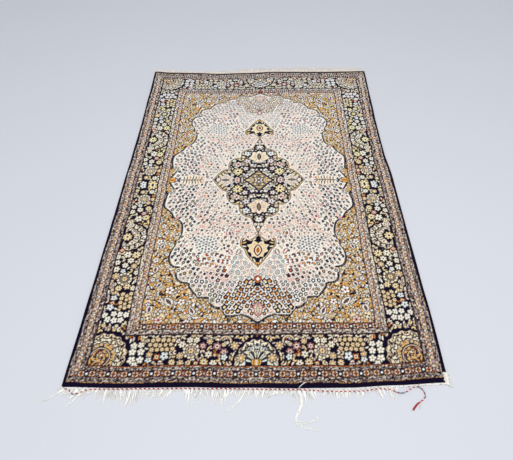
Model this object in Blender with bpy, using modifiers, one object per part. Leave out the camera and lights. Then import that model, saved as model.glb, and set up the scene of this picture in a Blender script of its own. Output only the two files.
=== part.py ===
"""A hand-knotted Persian silk rug, lying flat, with its fringed ends and its loose twined cord.

Metres, +Z up. The rug lies in the XY plane on z = 0, its length along Y, its front end at -Y.
The origin is on the floor, under the middle of the knotted carpet.

The knotted carpet is one flat solid, as uneven along its four edges as a hand-made rug is, with a few
soft ridges where it was once folded. Navy silk is overcast round a cord along each long side, and is
worn away at the front right corner. At each end the warps run out of a narrow woven strip and lie on the
floor as fringe locks. A twined cord of two plies is sewn on each strip. At the front it has come away on
the right, and it ends in two bare tails.
"""

import math
import random

import bpy

# ---------------------------------------------------------------- driving sizes
RUG_WIDTH = 1.25  # over the overcast sides
RUG_LENGTH = 1.85  # knotted carpet, without its fringes
CARPET_THICK = 0.005  # warps, wefts and clipped silk pile
SEAM_GAP = 0.0004  # between pieces that touch

SELVEDGE_WIDE = 0.0052  # the overcast cord along each long side
CARPET_INSET = SELVEDGE_WIDE + SEAM_GAP  # the knotted carpet starts this far inside the rug's sides
STRIP_WIDE = 0.009  # woven strip at each end
STRIP_THICK = 0.0018
FRAYED_CORNER = 0.031  # how far the strip runs up the front right side, where the overcasting is gone

CORD_THICK = 0.003  # twined cord of two plies
CORD_Z_ON_STRIP = STRIP_THICK + SEAM_GAP + CORD_THICK / 2
CORD_Z_ON_FLOOR = CORD_THICK / 2 + 0.0001
TAIL_THICK = 0.0026  # an untwisted ply

COLUMNS = 18  # of the carpet's mesh, across
ROWS = 28  # and along

# ---------------------------------------------------------------- the uneven outline
# Share of the way along an edge, and how far the edge lies outside the plain rectangle, in millimetres.
# Left and right run from front to back, front and back from left to right.
LEFT_EDGE = ((0, 6), (0.14, 2), (0.25, -0.5), (0.40, -3.5), (0.50, -4), (0.60, -6.5), (0.72, -7.5), (0.88, -4), (1, 0))
RIGHT_EDGE = ((0, 6), (0.10, 8), (0.22, 5), (0.40, 2), (0.51, 1), (0.62, -10), (0.74, -9.5), (0.82, -6), (1, 0))
FRONT_EDGE = ((0, 0), (0.15, 5), (0.30, 5), (0.45, 9), (0.62, 13), (0.74, 13), (0.86, 7), (1, 0))
BACK_EDGE = ((0, 1), (0.08, -10), (0.20, -14), (0.30, -22), (0.42, -14), (0.58, 0), (0.80, 0), (0.90, 4), (1, 9))

# Soft ridges across the rug where it was once folded: how far along, height at the left and at the
# right side in millimetres, and half the ridge's width in metres.
FOLD_RIDGES = (
    # along, left_mm, right_mm, half_wide
    (0.155, 0.6, 1.6, 0.070),
    (0.370, 1.5, 0.7, 0.060),
    (0.625, 0.8, 2.0, 0.065),
    (0.840, 1.6, 1.1, 0.075),
)

# ---------------------------------------------------------------- the fringes
# Warps hang together in locks. Each row is a place along the end, from left to right: x, the length of
# the locks there in millimetres, and how far they lean to the right in degrees.
FRONT_LOCKS = (
    # x, length_mm, lean_deg
    (-0.600, 30, -40),
    (-0.555, 34, -42),
    (-0.520, 22, -30),
    (-0.480, 28, -24),
    (-0.440, 34, -10),
    (-0.385, 46, -3),
    (-0.345, 44, -8),
    (-0.320, 20, -30),
    (-0.255, 17, -28),
    (-0.215, 12, -18),
    (-0.190, 38, -14),
    (-0.150, 36, -22),
    (-0.100, 38, -8),
    (-0.060, 32, -20),
    (-0.010, 20, -26),
    (0.050, 26, -30),
    (0.100, 12, -34),
    (0.140, 36, -4),
    (0.175, 30, 16),
    (0.205, 12, 4),
    (0.245, 24, -4),
    (0.285, 22, 10),
    (0.325, 14, 8),
    (0.385, 36, 14),
    (0.425, 40, 4),
    (0.455, 20, 16),
    (0.480, 8, 10),
)
BACK_LOCKS = (
    (-0.600, 14, 20),
    (-0.470, 22, 8),
    (-0.330, 18, -12),
    (-0.180, 30, 14),
    (-0.060, 44, 20),
    (0.060, 38, -10),
    (0.200, 50, 8),
    (0.330, 40, -16),
    (0.480, 46, 10),
    (0.600, 34, -8),
)
FRONT_COUNT = 140
BACK_COUNT = 118
LOCK_WIDE = 0.0046  # at its root
STRAND_WIDE = 0.0028  # a long strand, or one of the frayed corner
LOCK_GAP = 0.0012  # the least floor between two locks

# Strands that escaped from the locks at the front: x of the root on the strip, then points in plan.
LONG_STRANDS = (
    (-0.6215, (-0.640, -0.949), (-0.661, -0.963), (-0.684, -0.973)),
    (-0.5600, (-0.573, -0.957), (-0.586, -0.976), (-0.600, -0.985)),
    (-0.0360, (-0.052, -0.974), (-0.074, -0.994), (-0.095, -1.010)),
    (0.1330, (0.1375, -0.970), (0.1375, -0.991), (0.1275, -1.010),
     (0.1190, -1.030), (0.1240, -1.050), (0.1520, -1.063), (0.1930, -1.068)),
    (0.1400, (0.1450, -0.970), (0.1450, -0.992), (0.1350, -1.012),
     (0.1280, -1.029), (0.1340, -1.043), (0.1620, -1.046), (0.1950, -1.030)),
)
# Strands that fan out of the frayed corner at the front right, from the back one round to the front one.
CORNER_TUFT = (
    # heading_deg (90 is towards the back), length_mm
    (58, 17),
    (40, 27),
    (22, 24),
    (-10, 20),
    (-32, 27),
    (-52, 31),
)

# ---------------------------------------------------------------- the twined cord, in plan
SEWN_CORD_FRONT = (
    (-0.617, -0.9335), (-0.604, -0.9380), (-0.595, -0.9465), (-0.585, -0.9515), (-0.574, -0.9485),
    (-0.560, -0.9435), (-0.548, -0.9395), (-0.530, -0.9365), (-0.500, -0.9360), (-0.440, -0.9365),
    (-0.380, -0.9360), (-0.320, -0.9370), (-0.250, -0.9365), (-0.180, -0.9385), (-0.110, -0.9390),
    (-0.040, -0.9410), (0.030, -0.9430), (0.090, -0.9440), (0.138, -0.9450),
)
LOOSE_CORD = (
    (0.1384, -0.9450, 1), (0.170, -0.9475, 1), (0.206, -0.9500, 1), (0.241, -0.9520, 1), (0.283, -0.9525, 1),
    (0.319, -0.9525, 1), (0.357, -0.9505, 1), (0.379, -0.9475, 1), (0.397, -0.9455, 1), (0.418, -0.9465, 1),
    (0.436, -0.9485, 1), (0.452, -0.9565, 1), (0.469, -0.9600, 1), (0.485, -0.9560, 1), (0.500, -0.9475, 1),
    (0.514, -0.9410, 1), (0.528, -0.9410, 0.8), (0.538, -0.9475, 0.3), (0.5435, -0.9580, 0), (0.5440, -0.9700, 0),
    (0.5370, -0.9790, 0), (0.5270, -0.9850, 0),
)  # x, y, and 1 where it lies as high as on the strip, 0 where it lies on the floor
# The two plies past the cord's end, which lie side by side there before they part.
RED_TAIL = ((0.5135, -0.9930), (0.4920, -1.0150))
WHITE_TAIL = ((0.5222, -0.9930), (0.5180, -1.0120))
TUBE_SIDES = 2  # bevel_resolution of every cord, for 8 sides
CORD_POINT_STEP = 0.0075  # between two points of the cord's tube
SEWN_POINT_STEP = 0.010  # and where it is sewn on
STRAND_POINT_STEP = 0.009

NAVY = (0.020, 0.016, 0.045)
IVORY = (0.72, 0.65, 0.55)
COTTON = (0.80, 0.77, 0.69)
RED = (0.50, 0.03, 0.06)


# ---------------------------------------------------------------- helpers
def clear_scene():
    for item in list(bpy.data.objects):
        bpy.data.objects.remove(item)


def collection(name):
    made = bpy.data.collections.new(name)
    bpy.context.scene.collection.children.link(made)
    return made


def dyed(name, colour, roughness):
    """A plain material of one colour."""
    material = bpy.data.materials.new(name)
    material.use_nodes = True
    shader = material.node_tree.nodes["Principled BSDF"]
    shader.inputs["Base Color"].default_value = (*colour, 1)
    shader.inputs["Roughness"].default_value = roughness
    shader.inputs["Metallic"].default_value = 0
    return material


def between(table, at, column=1):
    """The value of a table's column at a place along its first column, eased from row to row."""
    for low, high in zip(table, table[1:]):
        if at <= high[0]:
            share = max(0.0, (at - low[0]) / (high[0] - low[0]))
            eased = (1 - math.cos(math.pi * share)) / 2
            return low[column] + (high[column] - low[column]) * eased
    return table[-1][column]


def side_x(side, v, inset=0.0):
    """x of the left (-1) or right (1) side at share v of the length, this far inside it."""
    table = LEFT_EDGE if side < 0 else RIGHT_EDGE
    return side * (RUG_WIDTH / 2 + between(table, v) / 1000 - inset)


def end_y(end, u, outside=0.0):
    """y of the front (-1) or back (1) end at share u of the width, this far outside it."""
    table = FRONT_EDGE if end < 0 else BACK_EDGE
    return end * (RUG_LENGTH / 2 + between(table, u) / 1000 + outside)


def end_line(end, outside=0.0):
    """The carpet's edge at an end from left to right, this far outside it, column by column."""
    v = 0 if end < 0 else 1
    left, right = side_x(-1, v, CARPET_INSET), side_x(1, v, CARPET_INSET)
    shares = [column / COLUMNS for column in range(COLUMNS + 1)]
    return [(left + (right - left) * u, end_y(end, u, outside)) for u in shares]


def lift(u, v):
    """How high the carpet's underside lies, from the soft ridges."""
    height = 0.0
    for along, left_mm, right_mm, half_wide in FOLD_RIDGES:
        away = abs(v - along) * RUG_LENGTH / half_wide
        if away < 1:
            height += (left_mm + (right_mm - left_mm) * u) / 1000 * (1 + math.cos(math.pi * away)) / 2
    return height


def side_point(side, v, inset=0.0):
    """A point in plan of the straight stretches between rows that the carpet's long sides are made of."""
    row = min(int(v * ROWS), ROWS - 1)
    share = v * ROWS - row
    x = side_x(side, row / ROWS, inset) * (1 - share) + side_x(side, (row + 1) / ROWS, inset) * share
    u = 0 if side < 0 else 1
    return (x, end_y(-1, u) + (end_y(1, u) - end_y(-1, u)) * v)


def rest_on_floor(height):
    """Heights under a tenth of a millimetre are the floor itself, so that the underside is truly flat."""
    return height if height > 0.0001 else 0.0


def smooth_route(points, step):
    """Points a step apart along a smooth curve through the given ones, whatever their dimension."""
    ends = [points[0], *points, points[-1]]
    found = [points[0]]
    for a, b, c, d in zip(ends, ends[1:], ends[2:], ends[3:]):
        count = max(1, round(math.dist(b, c) / step))
        for i in range(1, count + 1):
            t = i / count
            found.append(
                tuple(
                    0.5 * (2 * q + (r - p) * t + (2 * p - 5 * q + 4 * r - s) * t**2 + (3 * q - p - 3 * r + s) * t**3)
                    for p, q, r, s in zip(a, b, c, d)
                )
            )
    return found


# ---------------------------------------------------------------- the pieces
def make_carpet(into, material):
    """The knotted carpet: a grid laid to the uneven outline and ridges, then given its thickness."""
    bpy.ops.mesh.primitive_grid_add(x_subdivisions=COLUMNS, y_subdivisions=ROWS, size=1)
    carpet = bpy.context.object
    carpet.name = "carpet"
    for vertex in carpet.data.vertices:
        u, v = vertex.co.x + 0.5, vertex.co.y + 0.5
        left, right = side_x(-1, v, CARPET_INSET), side_x(1, v, CARPET_INSET)
        front, back = end_y(-1, u), end_y(1, u)
        vertex.co = (left + (right - left) * u, front + (back - front) * v, rest_on_floor(lift(u, v)))
    body = carpet.modifiers.new("thickness", "SOLIDIFY")
    body.thickness = CARPET_THICK
    body.offset = 1
    carpet.data.materials.append(material)
    carpet.data.shade_smooth()
    carpet.data.set_sharp_from_angle(angle=math.radians(35))
    move_to(carpet, into)
    return carpet


def move_to(item, into):
    for owner in list(item.users_collection):
        owner.objects.unlink(item)
    into.objects.link(item)


def make_tube(name, points, thick, into, material, flatten=1.0):
    """A round cord through these points, as a curve with filled caps."""
    data = bpy.data.curves.new(name, "CURVE")
    data.dimensions = "3D"
    data.bevel_depth = thick / 2
    data.bevel_resolution = TUBE_SIDES
    data.use_fill_caps = True
    spline = data.splines.new("POLY")
    spline.points.add(len(points) - 1)
    for place, (x, y, z) in zip(spline.points, points):
        place.co = (x, y, z / flatten, 1)
    tube = bpy.data.objects.new(name, data)
    tube.scale.z = flatten
    data.materials.append(material)
    into.objects.link(tube)
    return tube


def make_selvedge(name, side, into, material, starts=0.0):
    """The overcast cord along one long side, as high as the carpet and following its ridges."""
    points = []
    for row in range(ROWS + 1):
        v = max(row / ROWS, starts)
        x, y = side_point(side, v, SELVEDGE_WIDE / 2)
        points.append((x, y, rest_on_floor(lift(0 if side < 0 else 1, v)) + CARPET_THICK / 2))
    return make_tube(name, points, SELVEDGE_WIDE, into, material, CARPET_THICK / SELVEDGE_WIDE)


def lock_line(x, length, lean_deg, end, wave):
    """The middle of a fringe lock in plan, from the strip's outer edge outwards."""
    root_y = end_y(end, x / RUG_WIDTH + 0.5, SEAM_GAP + STRIP_WIDE)
    points = []
    for share in (0.0, 0.4, 0.75, 1.0):
        turn = math.radians(lean_deg * (0.35 + 0.65 * share) + wave * share)
        out = length * share
        points.append((x + out * math.sin(turn), root_y + end * out * math.cos(turn)))
    return points


def near(line, others, clear):
    """True if a line comes closer to any other than this."""
    dense = smooth_route(line, 0.002)
    return any(math.dist(p, q) < clear for other in others for q in smooth_route(other, 0.002) for p in dense)


def random_locks(table, count, end, kept_clear, seed):
    """Locks spread along an end by its table, each a little uneven, shortened until it touches no other."""
    chance = random.Random(seed)
    low, high = table[0][0], table[-1][0]
    found = []
    for i in range(count):
        x = low + (high - low) * (i + chance.uniform(0.3, 0.7)) / count
        length = between(table, x) / 1000 * chance.uniform(0.7, 1.15)
        lean = between(table, x, 2) + chance.uniform(-7, 7)
        wave = chance.uniform(-12, 12)
        line = lock_line(x, length, lean, end, wave)
        others = [other for other in kept_clear if abs(other[0][0] - x) < 0.13] + found[-2:]
        while length > 0.006 and near(line, others, LOCK_WIDE + LOCK_GAP):
            length *= 0.8
            line = lock_line(x, length, lean, end, wave)
        if length > 0.006:
            found.append(line)
    return found


def long_strands():
    """The escaped strands, each rooted in the front strip."""
    found = []
    for x, *rest in LONG_STRANDS:
        root = (x, end_y(-1, x / RUG_WIDTH + 0.5, SEAM_GAP + STRIP_WIDE))
        found.append(smooth_route([root, *rest], STRAND_POINT_STEP))
    return found


def outline_of_lock(line, wide, end):
    """A lock's outline from one side of its root round its tip to the other, from left to right."""
    left_side, right_side = [], []
    for i, (x, y) in enumerate(line[:-1]):
        (x0, y0), (x1, y1) = line[max(i - 1, 0)], line[i + 1]
        dx, dy = x1 - x0, y1 - y0
        half = wide / 2 * (1 - 0.55 * i / (len(line) - 1))
        across = half * end / math.hypot(dx, dy)
        left_side.append((x - dy * across, y + dx * across))
        right_side.append((x + dy * across, y - dx * across))
    return [*left_side, line[-1], *reversed(right_side)]


def frayed_corner():
    """The outline from the carpet's front right corner up beside it and back down along its frayed
    strands, to the outer corner of the strip."""
    top = FRAYED_CORNER / RUG_LENGTH
    bottom_x, bottom_y = side_x(1, 0), end_y(-1, 1, SEAM_GAP + STRIP_WIDE)
    inner = [side_point(1, v, SELVEDGE_WIDE) for v in (0, top)]
    (top_x, top_y) = side_point(1, top)
    outer = [(top_x, top_y)]
    for i, (heading_deg, length_mm) in enumerate(CORNER_TUFT):
        share = (i + 0.5) / len(CORNER_TUFT)
        x, y = top_x + (bottom_x - top_x) * share, top_y + (bottom_y - top_y) * share
        line = [(x, y)]
        for part in (0.5, 1.0):
            turn = math.radians(heading_deg * (0.7 + 0.3 * part))
            reach = length_mm / 1000 * part
            line.append((x + reach * math.cos(turn), y + reach * math.sin(turn)))
        outer.extend(reversed(outline_of_lock(line, STRAND_WIDE, -1)))
    return [*inner, *outer, (bottom_x, bottom_y)]


def make_fringe(name, end, locks, strands, corner, into, material):
    """The woven strip at one end with its fringe locks, as one flat outline given its thickness."""
    v, edge = (0 if end < 0 else 1), end_line(end, SEAM_GAP)
    left_x, right_x = side_x(-1, v), side_x(1, v)
    outer_y = [end_y(end, u, SEAM_GAP + STRIP_WIDE) for u in (0, 1)]
    corner = corner or [(right_x, edge[-1][1]), (right_x, outer_y[1])]
    outlines = [outline_of_lock(lock, LOCK_WIDE, end) for lock in locks]
    outlines += [outline_of_lock(strand, STRAND_WIDE, end) for strand in strands]
    outer = [point for outline in sorted(outlines) for point in outline]
    outline = [(left_x, edge[0][1]), *edge, *corner, *reversed(outer), (left_x, outer_y[0])]
    data = bpy.data.curves.new(name, "CURVE")
    data.dimensions = "2D"
    data.fill_mode = "BOTH"
    data.extrude = STRIP_THICK / 2
    spline = data.splines.new("POLY")
    spline.use_cyclic_u = True
    spline.points.add(len(outline) - 1)
    for place, (x, y) in zip(spline.points, outline):
        place.co = (x, y, 0, 1)
    fringe = bpy.data.objects.new(name, data)
    fringe.location.z = STRIP_THICK / 2
    data.materials.append(material)
    into.objects.link(fringe)
    return fringe


def tail_route(cord, side, rest):
    """A ply's route from the cut end of the cord, on one side of the other ply, through these points."""
    (x0, y0, _), (x1, y1, _) = cord[-2:]
    long = math.dist((x0, y0), (x1, y1))
    ahead = ((x1 - x0) / long, (y1 - y0) / long)
    aside = side * (TAIL_THICK + SEAM_GAP) / 2
    start = (x1 + ahead[0] * SEAM_GAP - ahead[1] * aside, y1 + ahead[1] * SEAM_GAP + ahead[0] * aside)
    straight = (start[0] + ahead[0] * TAIL_THICK, start[1] + ahead[1] * TAIL_THICK)
    flat = smooth_route([start, straight, *rest], CORD_POINT_STEP)
    return [(x, y, CORD_Z_ON_FLOOR) for x, y in flat]


def make_cords(into, red, white):
    """The twined cord sewn on each strip, its loose stretch at the front right and the two bare tails."""
    sewn = [(x, y, CORD_Z_ON_STRIP) for x, y in SEWN_CORD_FRONT]
    make_tube("twining_front", smooth_route(sewn, SEWN_POINT_STEP), CORD_THICK, into, red)
    back = []
    for x, _ in end_line(1):
        y = end_y(1, x / RUG_WIDTH + 0.5, SEAM_GAP + STRIP_WIDE / 2)
        back.append((x, y, CORD_Z_ON_STRIP))
    make_tube("twining_back", back, CORD_THICK, into, red)
    rise = CORD_Z_ON_STRIP - CORD_Z_ON_FLOOR
    loose = smooth_route([(x, y, CORD_Z_ON_FLOOR + rise * high) for x, y, high in LOOSE_CORD], CORD_POINT_STEP)
    make_tube("loose_cord", loose, CORD_THICK, into, red)
    make_tube("tail_red", tail_route(loose, -1, RED_TAIL), TAIL_THICK, into, red)
    make_tube("tail_white", tail_route(loose, 1, WHITE_TAIL), TAIL_THICK, into, white)


def main():
    clear_scene()
    rug = collection("persian_rug")
    pile = dyed("silk_pile", IVORY, 0.6)
    navy = dyed("navy_silk", NAVY, 0.55)
    cotton = dyed("cotton_warp", COTTON, 0.85)
    red = dyed("red_thread", RED, 0.6)
    make_carpet(rug, pile)
    make_selvedge("selvedge_left", -1, rug, navy)
    make_selvedge("selvedge_right", 1, rug, navy, starts=(FRAYED_CORNER + SEAM_GAP) / RUG_LENGTH)
    strands = long_strands()
    front = random_locks(FRONT_LOCKS, FRONT_COUNT, -1, strands, seed=3)
    make_fringe("fringe_front", -1, front, strands, frayed_corner(), rug, cotton)
    back = random_locks(BACK_LOCKS, BACK_COUNT, 1, [], seed=8)
    make_fringe("fringe_back", 1, back, [], [], rug, cotton)
    make_cords(rug, red, cotton)


main()
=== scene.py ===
# %% [markdown]
# # A hand-knotted Persian silk rug
#
# A knotted rug is a cloth of cotton warps with a pile of dyed silk knots. Its pattern comes from a chart on
# squared paper, one square to a few knots. This lesson draws such a chart in code, ties it into a fine
# mesh, and then adds what the eye checks next: overcast sides, woven strips, fringes and a twined cord. The
# plain CAD rug is loaded first, because every piece here takes its place from it.

# %% Load the plain rug
import math
import random

import bpy
import numpy as np
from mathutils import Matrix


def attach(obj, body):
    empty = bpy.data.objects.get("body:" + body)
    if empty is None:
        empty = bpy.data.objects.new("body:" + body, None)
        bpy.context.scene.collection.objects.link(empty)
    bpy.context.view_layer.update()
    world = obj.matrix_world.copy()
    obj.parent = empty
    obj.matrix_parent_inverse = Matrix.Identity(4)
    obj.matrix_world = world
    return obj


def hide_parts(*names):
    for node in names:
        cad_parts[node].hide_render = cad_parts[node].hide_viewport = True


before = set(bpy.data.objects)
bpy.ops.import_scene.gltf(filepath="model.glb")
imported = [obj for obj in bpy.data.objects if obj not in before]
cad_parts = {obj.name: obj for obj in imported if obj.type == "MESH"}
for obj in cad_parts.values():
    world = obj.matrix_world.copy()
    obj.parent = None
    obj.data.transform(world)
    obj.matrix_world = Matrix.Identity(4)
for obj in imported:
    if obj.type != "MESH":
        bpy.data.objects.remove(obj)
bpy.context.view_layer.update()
bpy.ops.object.select_all(action="DESELECT")
print("nodes of the plain rug:", ", ".join(sorted(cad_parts)))

# %% [markdown]
# ## The camera
#
# The photograph looks down at the front end of the rug from standing height. A camera has a place, a turn
# and a lens. Its small sideways shift says that the picture was cropped a little more on one side.

# %% Place the camera
bpy.ops.object.camera_add(
    location=(0.0395, -1.4055, 1.4050), rotation=[math.radians(turn) for turn in (38.710, -0.581, -0.867)]
)
camera = bpy.context.object
camera.data.lens = 29.99
camera.data.sensor_width = 36
camera.data.shift_x = -0.0365
bpy.context.scene.camera = camera
print("camera lens in mm:", round(camera.data.lens, 2))

# %% [markdown]
# ## Sizes and uneven edges
#
# No hand-made rug is a true rectangle. Each table below gives places along one edge and how many
# millimetres the edge lies outside the rectangle there. They repeat the CAD part's own numbers, so that the
# new pieces lie exactly where its solids are.

# %% Sizes in metres, and the uneven outline
RUG_WIDTH, RUG_LENGTH = 1.25, 1.85
CARPET_THICK, SEAM_GAP = 0.005, 0.0004
SELVEDGE_WIDE = 0.0052
CARPET_INSET = SELVEDGE_WIDE + SEAM_GAP
STRIP_WIDE, STRIP_THICK = 0.009, 0.0018
FRAYED_CORNER = 0.031
CORD_THICK = 0.003
CORD_Z_ON_STRIP = STRIP_THICK + SEAM_GAP + CORD_THICK / 2
CORD_Z_ON_FLOOR = CORD_THICK / 2 + 0.0001

# Share of the way along, millimetres outside. The sides run from front to back, the ends from left to right.
LEFT_EDGE = (
    (0, 6), (0.14, 2), (0.25, -0.5), (0.40, -3.5), (0.50, -4), (0.60, -6.5), (0.72, -7.5), (0.88, -4), (1, 0),
)  # fmt: skip
RIGHT_EDGE = (
    (0, 6), (0.10, 8), (0.22, 5), (0.40, 2), (0.51, 1), (0.62, -10), (0.74, -9.5), (0.82, -6), (1, 0),
)  # fmt: skip
FRONT_EDGE = ((0, 0), (0.15, 5), (0.30, 5), (0.45, 9), (0.62, 13), (0.74, 13), (0.86, 7), (1, 0))
BACK_EDGE = (
    (0, 1), (0.08, -10), (0.20, -14), (0.30, -22), (0.42, -14), (0.58, 0), (0.80, 0), (0.90, 4), (1, 9),
)  # fmt: skip
FOLD_RIDGES = (
    # along, left_mm, right_mm, half_wide
    (0.155, 0.6, 1.6, 0.070),
    (0.370, 1.5, 0.7, 0.060),
    (0.625, 0.8, 2.0, 0.065),
    (0.840, 1.6, 1.1, 0.075),
)


def between(table, at, column=1):
    """The value of a table's column at a place along its first column, eased from row to row."""
    for low, high in zip(table, table[1:]):
        if at <= high[0]:
            share = max(0.0, (at - low[0]) / (high[0] - low[0]))
            eased = (1 - math.cos(math.pi * share)) / 2
            return low[column] + (high[column] - low[column]) * eased
    return table[-1][column]


def side_x(side, v, inset=0.0):
    """x of the left (-1) or right (1) side at share v of the length, this far inside it."""
    table = LEFT_EDGE if side < 0 else RIGHT_EDGE
    return side * (RUG_WIDTH / 2 + between(table, v) / 1000 - inset)


def end_y(end, u, outside=0.0):
    """y of the front (-1) or back (1) end at share u of the width, this far outside it."""
    table = FRONT_EDGE if end < 0 else BACK_EDGE
    return end * (RUG_LENGTH / 2 + between(table, u) / 1000 + outside)


def lift(u, v):
    """How high the old folds raise the rug, for one place or for arrays of places."""
    height = np.zeros(np.broadcast(u, v).shape)
    for along, left_mm, right_mm, half_wide in FOLD_RIDGES:
        away = np.minimum(np.abs(v - along) * RUG_LENGTH / half_wide, 1)
        height = height + (left_mm + (right_mm - left_mm) * u) / 1000 * (1 + np.cos(np.pi * away)) / 2
    return height


def eased_value(t, p, q, r, s):
    """A number at share t of the way from q to r, on a smooth curve that comes from p and goes on to s."""
    start = 2 * q + (r - p) * t
    return 0.5 * (start + (2 * p - 5 * q + 4 * r - s) * t**2 + (3 * q - p - 3 * r + s) * t**3)


def smooth_route(points, step):
    """Points a step apart along a smooth curve through the given ones, whatever their dimension."""
    ends = [points[0], *points, points[-1]]
    found = [points[0]]
    for a, b, c, d in zip(ends, ends[1:], ends[2:], ends[3:]):
        count = max(1, round(math.dist(b, c) / step))
        for i in range(1, count + 1):
            found.append(tuple(eased_value(i / count, *values) for values in zip(a, b, c, d)))
    return found


def route_length(points):
    return sum(math.dist(a, b) for a, b in zip(points, points[1:]))


print("middle of the front end and of the left side:", round(end_y(-1, 0.5), 4), round(side_x(-1, 0.5), 4))

# %% [markdown]
# ## Wires for the materials
#
# A material is a net of nodes. The class below wraps one output socket, and Python's own signs then add the
# Math nodes: `1 - dust * 0.3` is two nodes. Any other node comes from `node`.


# %% A socket that can be added and multiplied
class Wire:
    """An output socket of a material's nodes. A sum or product of wires adds its Math nodes."""

    def __init__(self, tree, socket=None):
        self.tree, self.socket = tree, socket

    def node(self, kind, settings=None, values=None, out=0):
        """Adds a node: its settings are set first, then the values or wires of its sockets."""
        made = self.tree.nodes.new("ShaderNode" + kind)
        for name, value in (settings or {}).items():
            if name == "stops":
                ramp = made.color_ramp
                while len(ramp.elements) < len(value):
                    ramp.elements.new(1)
                for element, (place, colour) in zip(ramp.elements, value):
                    element.position, element.color = place, (*colour, 1)
            else:
                setattr(made, name, value)
        for name, value in (values or {}).items():
            if isinstance(value, Wire):
                self.tree.links.new(value.socket, made.inputs[name])
            else:
                made.inputs[name].default_value = value
        return Wire(self.tree, made.outputs[out])

    def math(self, operation, first, second=0.0):
        return self.node("Math", {"operation": operation}, {0: first, 1: second})

    def __add__(self, other):
        return self.math("ADD", self, other)

    def __sub__(self, other):
        return self.math("SUBTRACT", self, other)

    def __rsub__(self, other):
        return self.math("SUBTRACT", other, self)

    def __mul__(self, other):
        return self.math("MULTIPLY", self, other)

    def __truediv__(self, other):
        return self.math("DIVIDE", self, other)

    __radd__, __rmul__ = __add__, __mul__

    def clamped(self):
        return self.node("Clamp", values={"Value": self})

    def mixed(self, first, second):
        """A colour between two, with this wire as the share of the second."""
        return self.node("Mix", {"data_type": "RGBA"}, {0: self, 6: first, 7: second}, out=2)

    def shaded(self, shade):
        """This colour, made lighter or darker by a value."""
        settings = {"data_type": "RGBA", "blend_type": "MULTIPLY"}
        return self.node("Mix", settings, {0: 1.0, 6: self, 7: shade}, out=2)

    def noise(self, scale, detail):
        """Soft noise at the place that this wire holds."""
        return self.node("TexNoise", values={"Vector": self, "Scale": scale, "Detail": detail}, out=0)

    def cells(self, scale, uneven=1.0):
        """How far the place that this wire holds is from the middle of its cell in a flat net of cells."""
        values = {"Vector": self, "Scale": scale, "Randomness": uneven}
        return self.node("TexVoronoi", {"voronoi_dimensions": "2D"}, values, out="Distance")

    def axis(self, letter):
        return self.node("SeparateXYZ", values={"Vector": self}, out=letter)

    def bump(self, strength, distance):
        """Normals of a relief that has this wire as its height."""
        values = {"Strength": strength, "Distance": distance, "Height": self}
        return self.node("Bump", values=values, out="Normal")


def new_finish(name):
    """A new material, the first wire of its net, and a wire that holds the place on the object."""
    made = bpy.data.materials.new(name)
    made.use_nodes = True
    net = Wire(made.node_tree)
    return made, net, net.node("TexCoord", out="Object")


def shade_with(net, **sockets):
    """Sets or links the sockets of the material's own shader, with _ for a space in a socket's name."""
    shader = net.tree.nodes["Principled BSDF"]
    for name, value in sockets.items():
        socket = shader.inputs[name.replace("_", " ")]
        if isinstance(value, Wire):
            net.tree.links.new(value.socket, socket)
        else:
            socket.default_value = value


def linear(red, green, blue):
    """A colour given on a 0 to 255 scale, as the light it stands for."""
    shares = (red / 255, green / 255, blue / 255)
    return tuple(c / 12.92 if c <= 0.04045 else ((c + 0.055) / 1.055) ** 2.4 for c in shares)


def opaque(red, green, blue):
    """The same for a socket, which also wants how opaque the colour is."""
    return (*linear(red, green, blue), 1)


print("mid grey as light:", round(linear(128, 128, 128)[0], 3))

# %% [markdown]
# ## The twined cord
#
# Two thick threads, one red and one white, are twined along each end to lock the fringe. At the front right
# the cord has come off the rug and lies in a loose loop, and its two plies part at the end. A free cord has
# a fixed length, so its route comes first, and everything else is laid round it. Each ply is a curve that
# winds round the route. A bevel makes it round, and it is then turned into a mesh.

# %% Routes of the cord
SEWN_CORD_FRONT = (
    (-0.617, -0.9335), (-0.604, -0.9380), (-0.595, -0.9465), (-0.585, -0.9515), (-0.574, -0.9485),
    (-0.560, -0.9435), (-0.548, -0.9395), (-0.530, -0.9365), (-0.500, -0.9360), (-0.440, -0.9365),
    (-0.380, -0.9360), (-0.320, -0.9370), (-0.250, -0.9365), (-0.180, -0.9385), (-0.110, -0.9390),
    (-0.040, -0.9410), (0.030, -0.9430), (0.090, -0.9440), (0.138, -0.9450),
)  # fmt: skip
LOOSE_CORD = (
    (0.1384, -0.9450, 1), (0.170, -0.9475, 1), (0.206, -0.9500, 1), (0.241, -0.9520, 1),
    (0.283, -0.9525, 1), (0.319, -0.9525, 1), (0.357, -0.9505, 1), (0.379, -0.9475, 1), (0.397, -0.9455, 1),
    (0.418, -0.9465, 1), (0.436, -0.9485, 1), (0.452, -0.9565, 1), (0.469, -0.9600, 1), (0.485, -0.9560, 1),
    (0.500, -0.9475, 1), (0.514, -0.9410, 1), (0.528, -0.9410, 0.8), (0.538, -0.9475, 0.3),
    (0.5435, -0.9580, 0), (0.5440, -0.9700, 0), (0.5370, -0.9790, 0), (0.5270, -0.9850, 0),
)  # x, y, and 1 where it lies as high as on the strip, 0 on the floor  # fmt: skip
RED_TAIL = ((0.5255, -0.9880), (0.5135, -0.9930), (0.4920, -1.0150))
WHITE_TAIL = ((0.5245, -0.9862), (0.5222, -0.9930), (0.5180, -1.0120))
TWIST_PITCH = 0.0145  # one full turn of both plies
ROUTE_STEP = 0.0018

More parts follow.
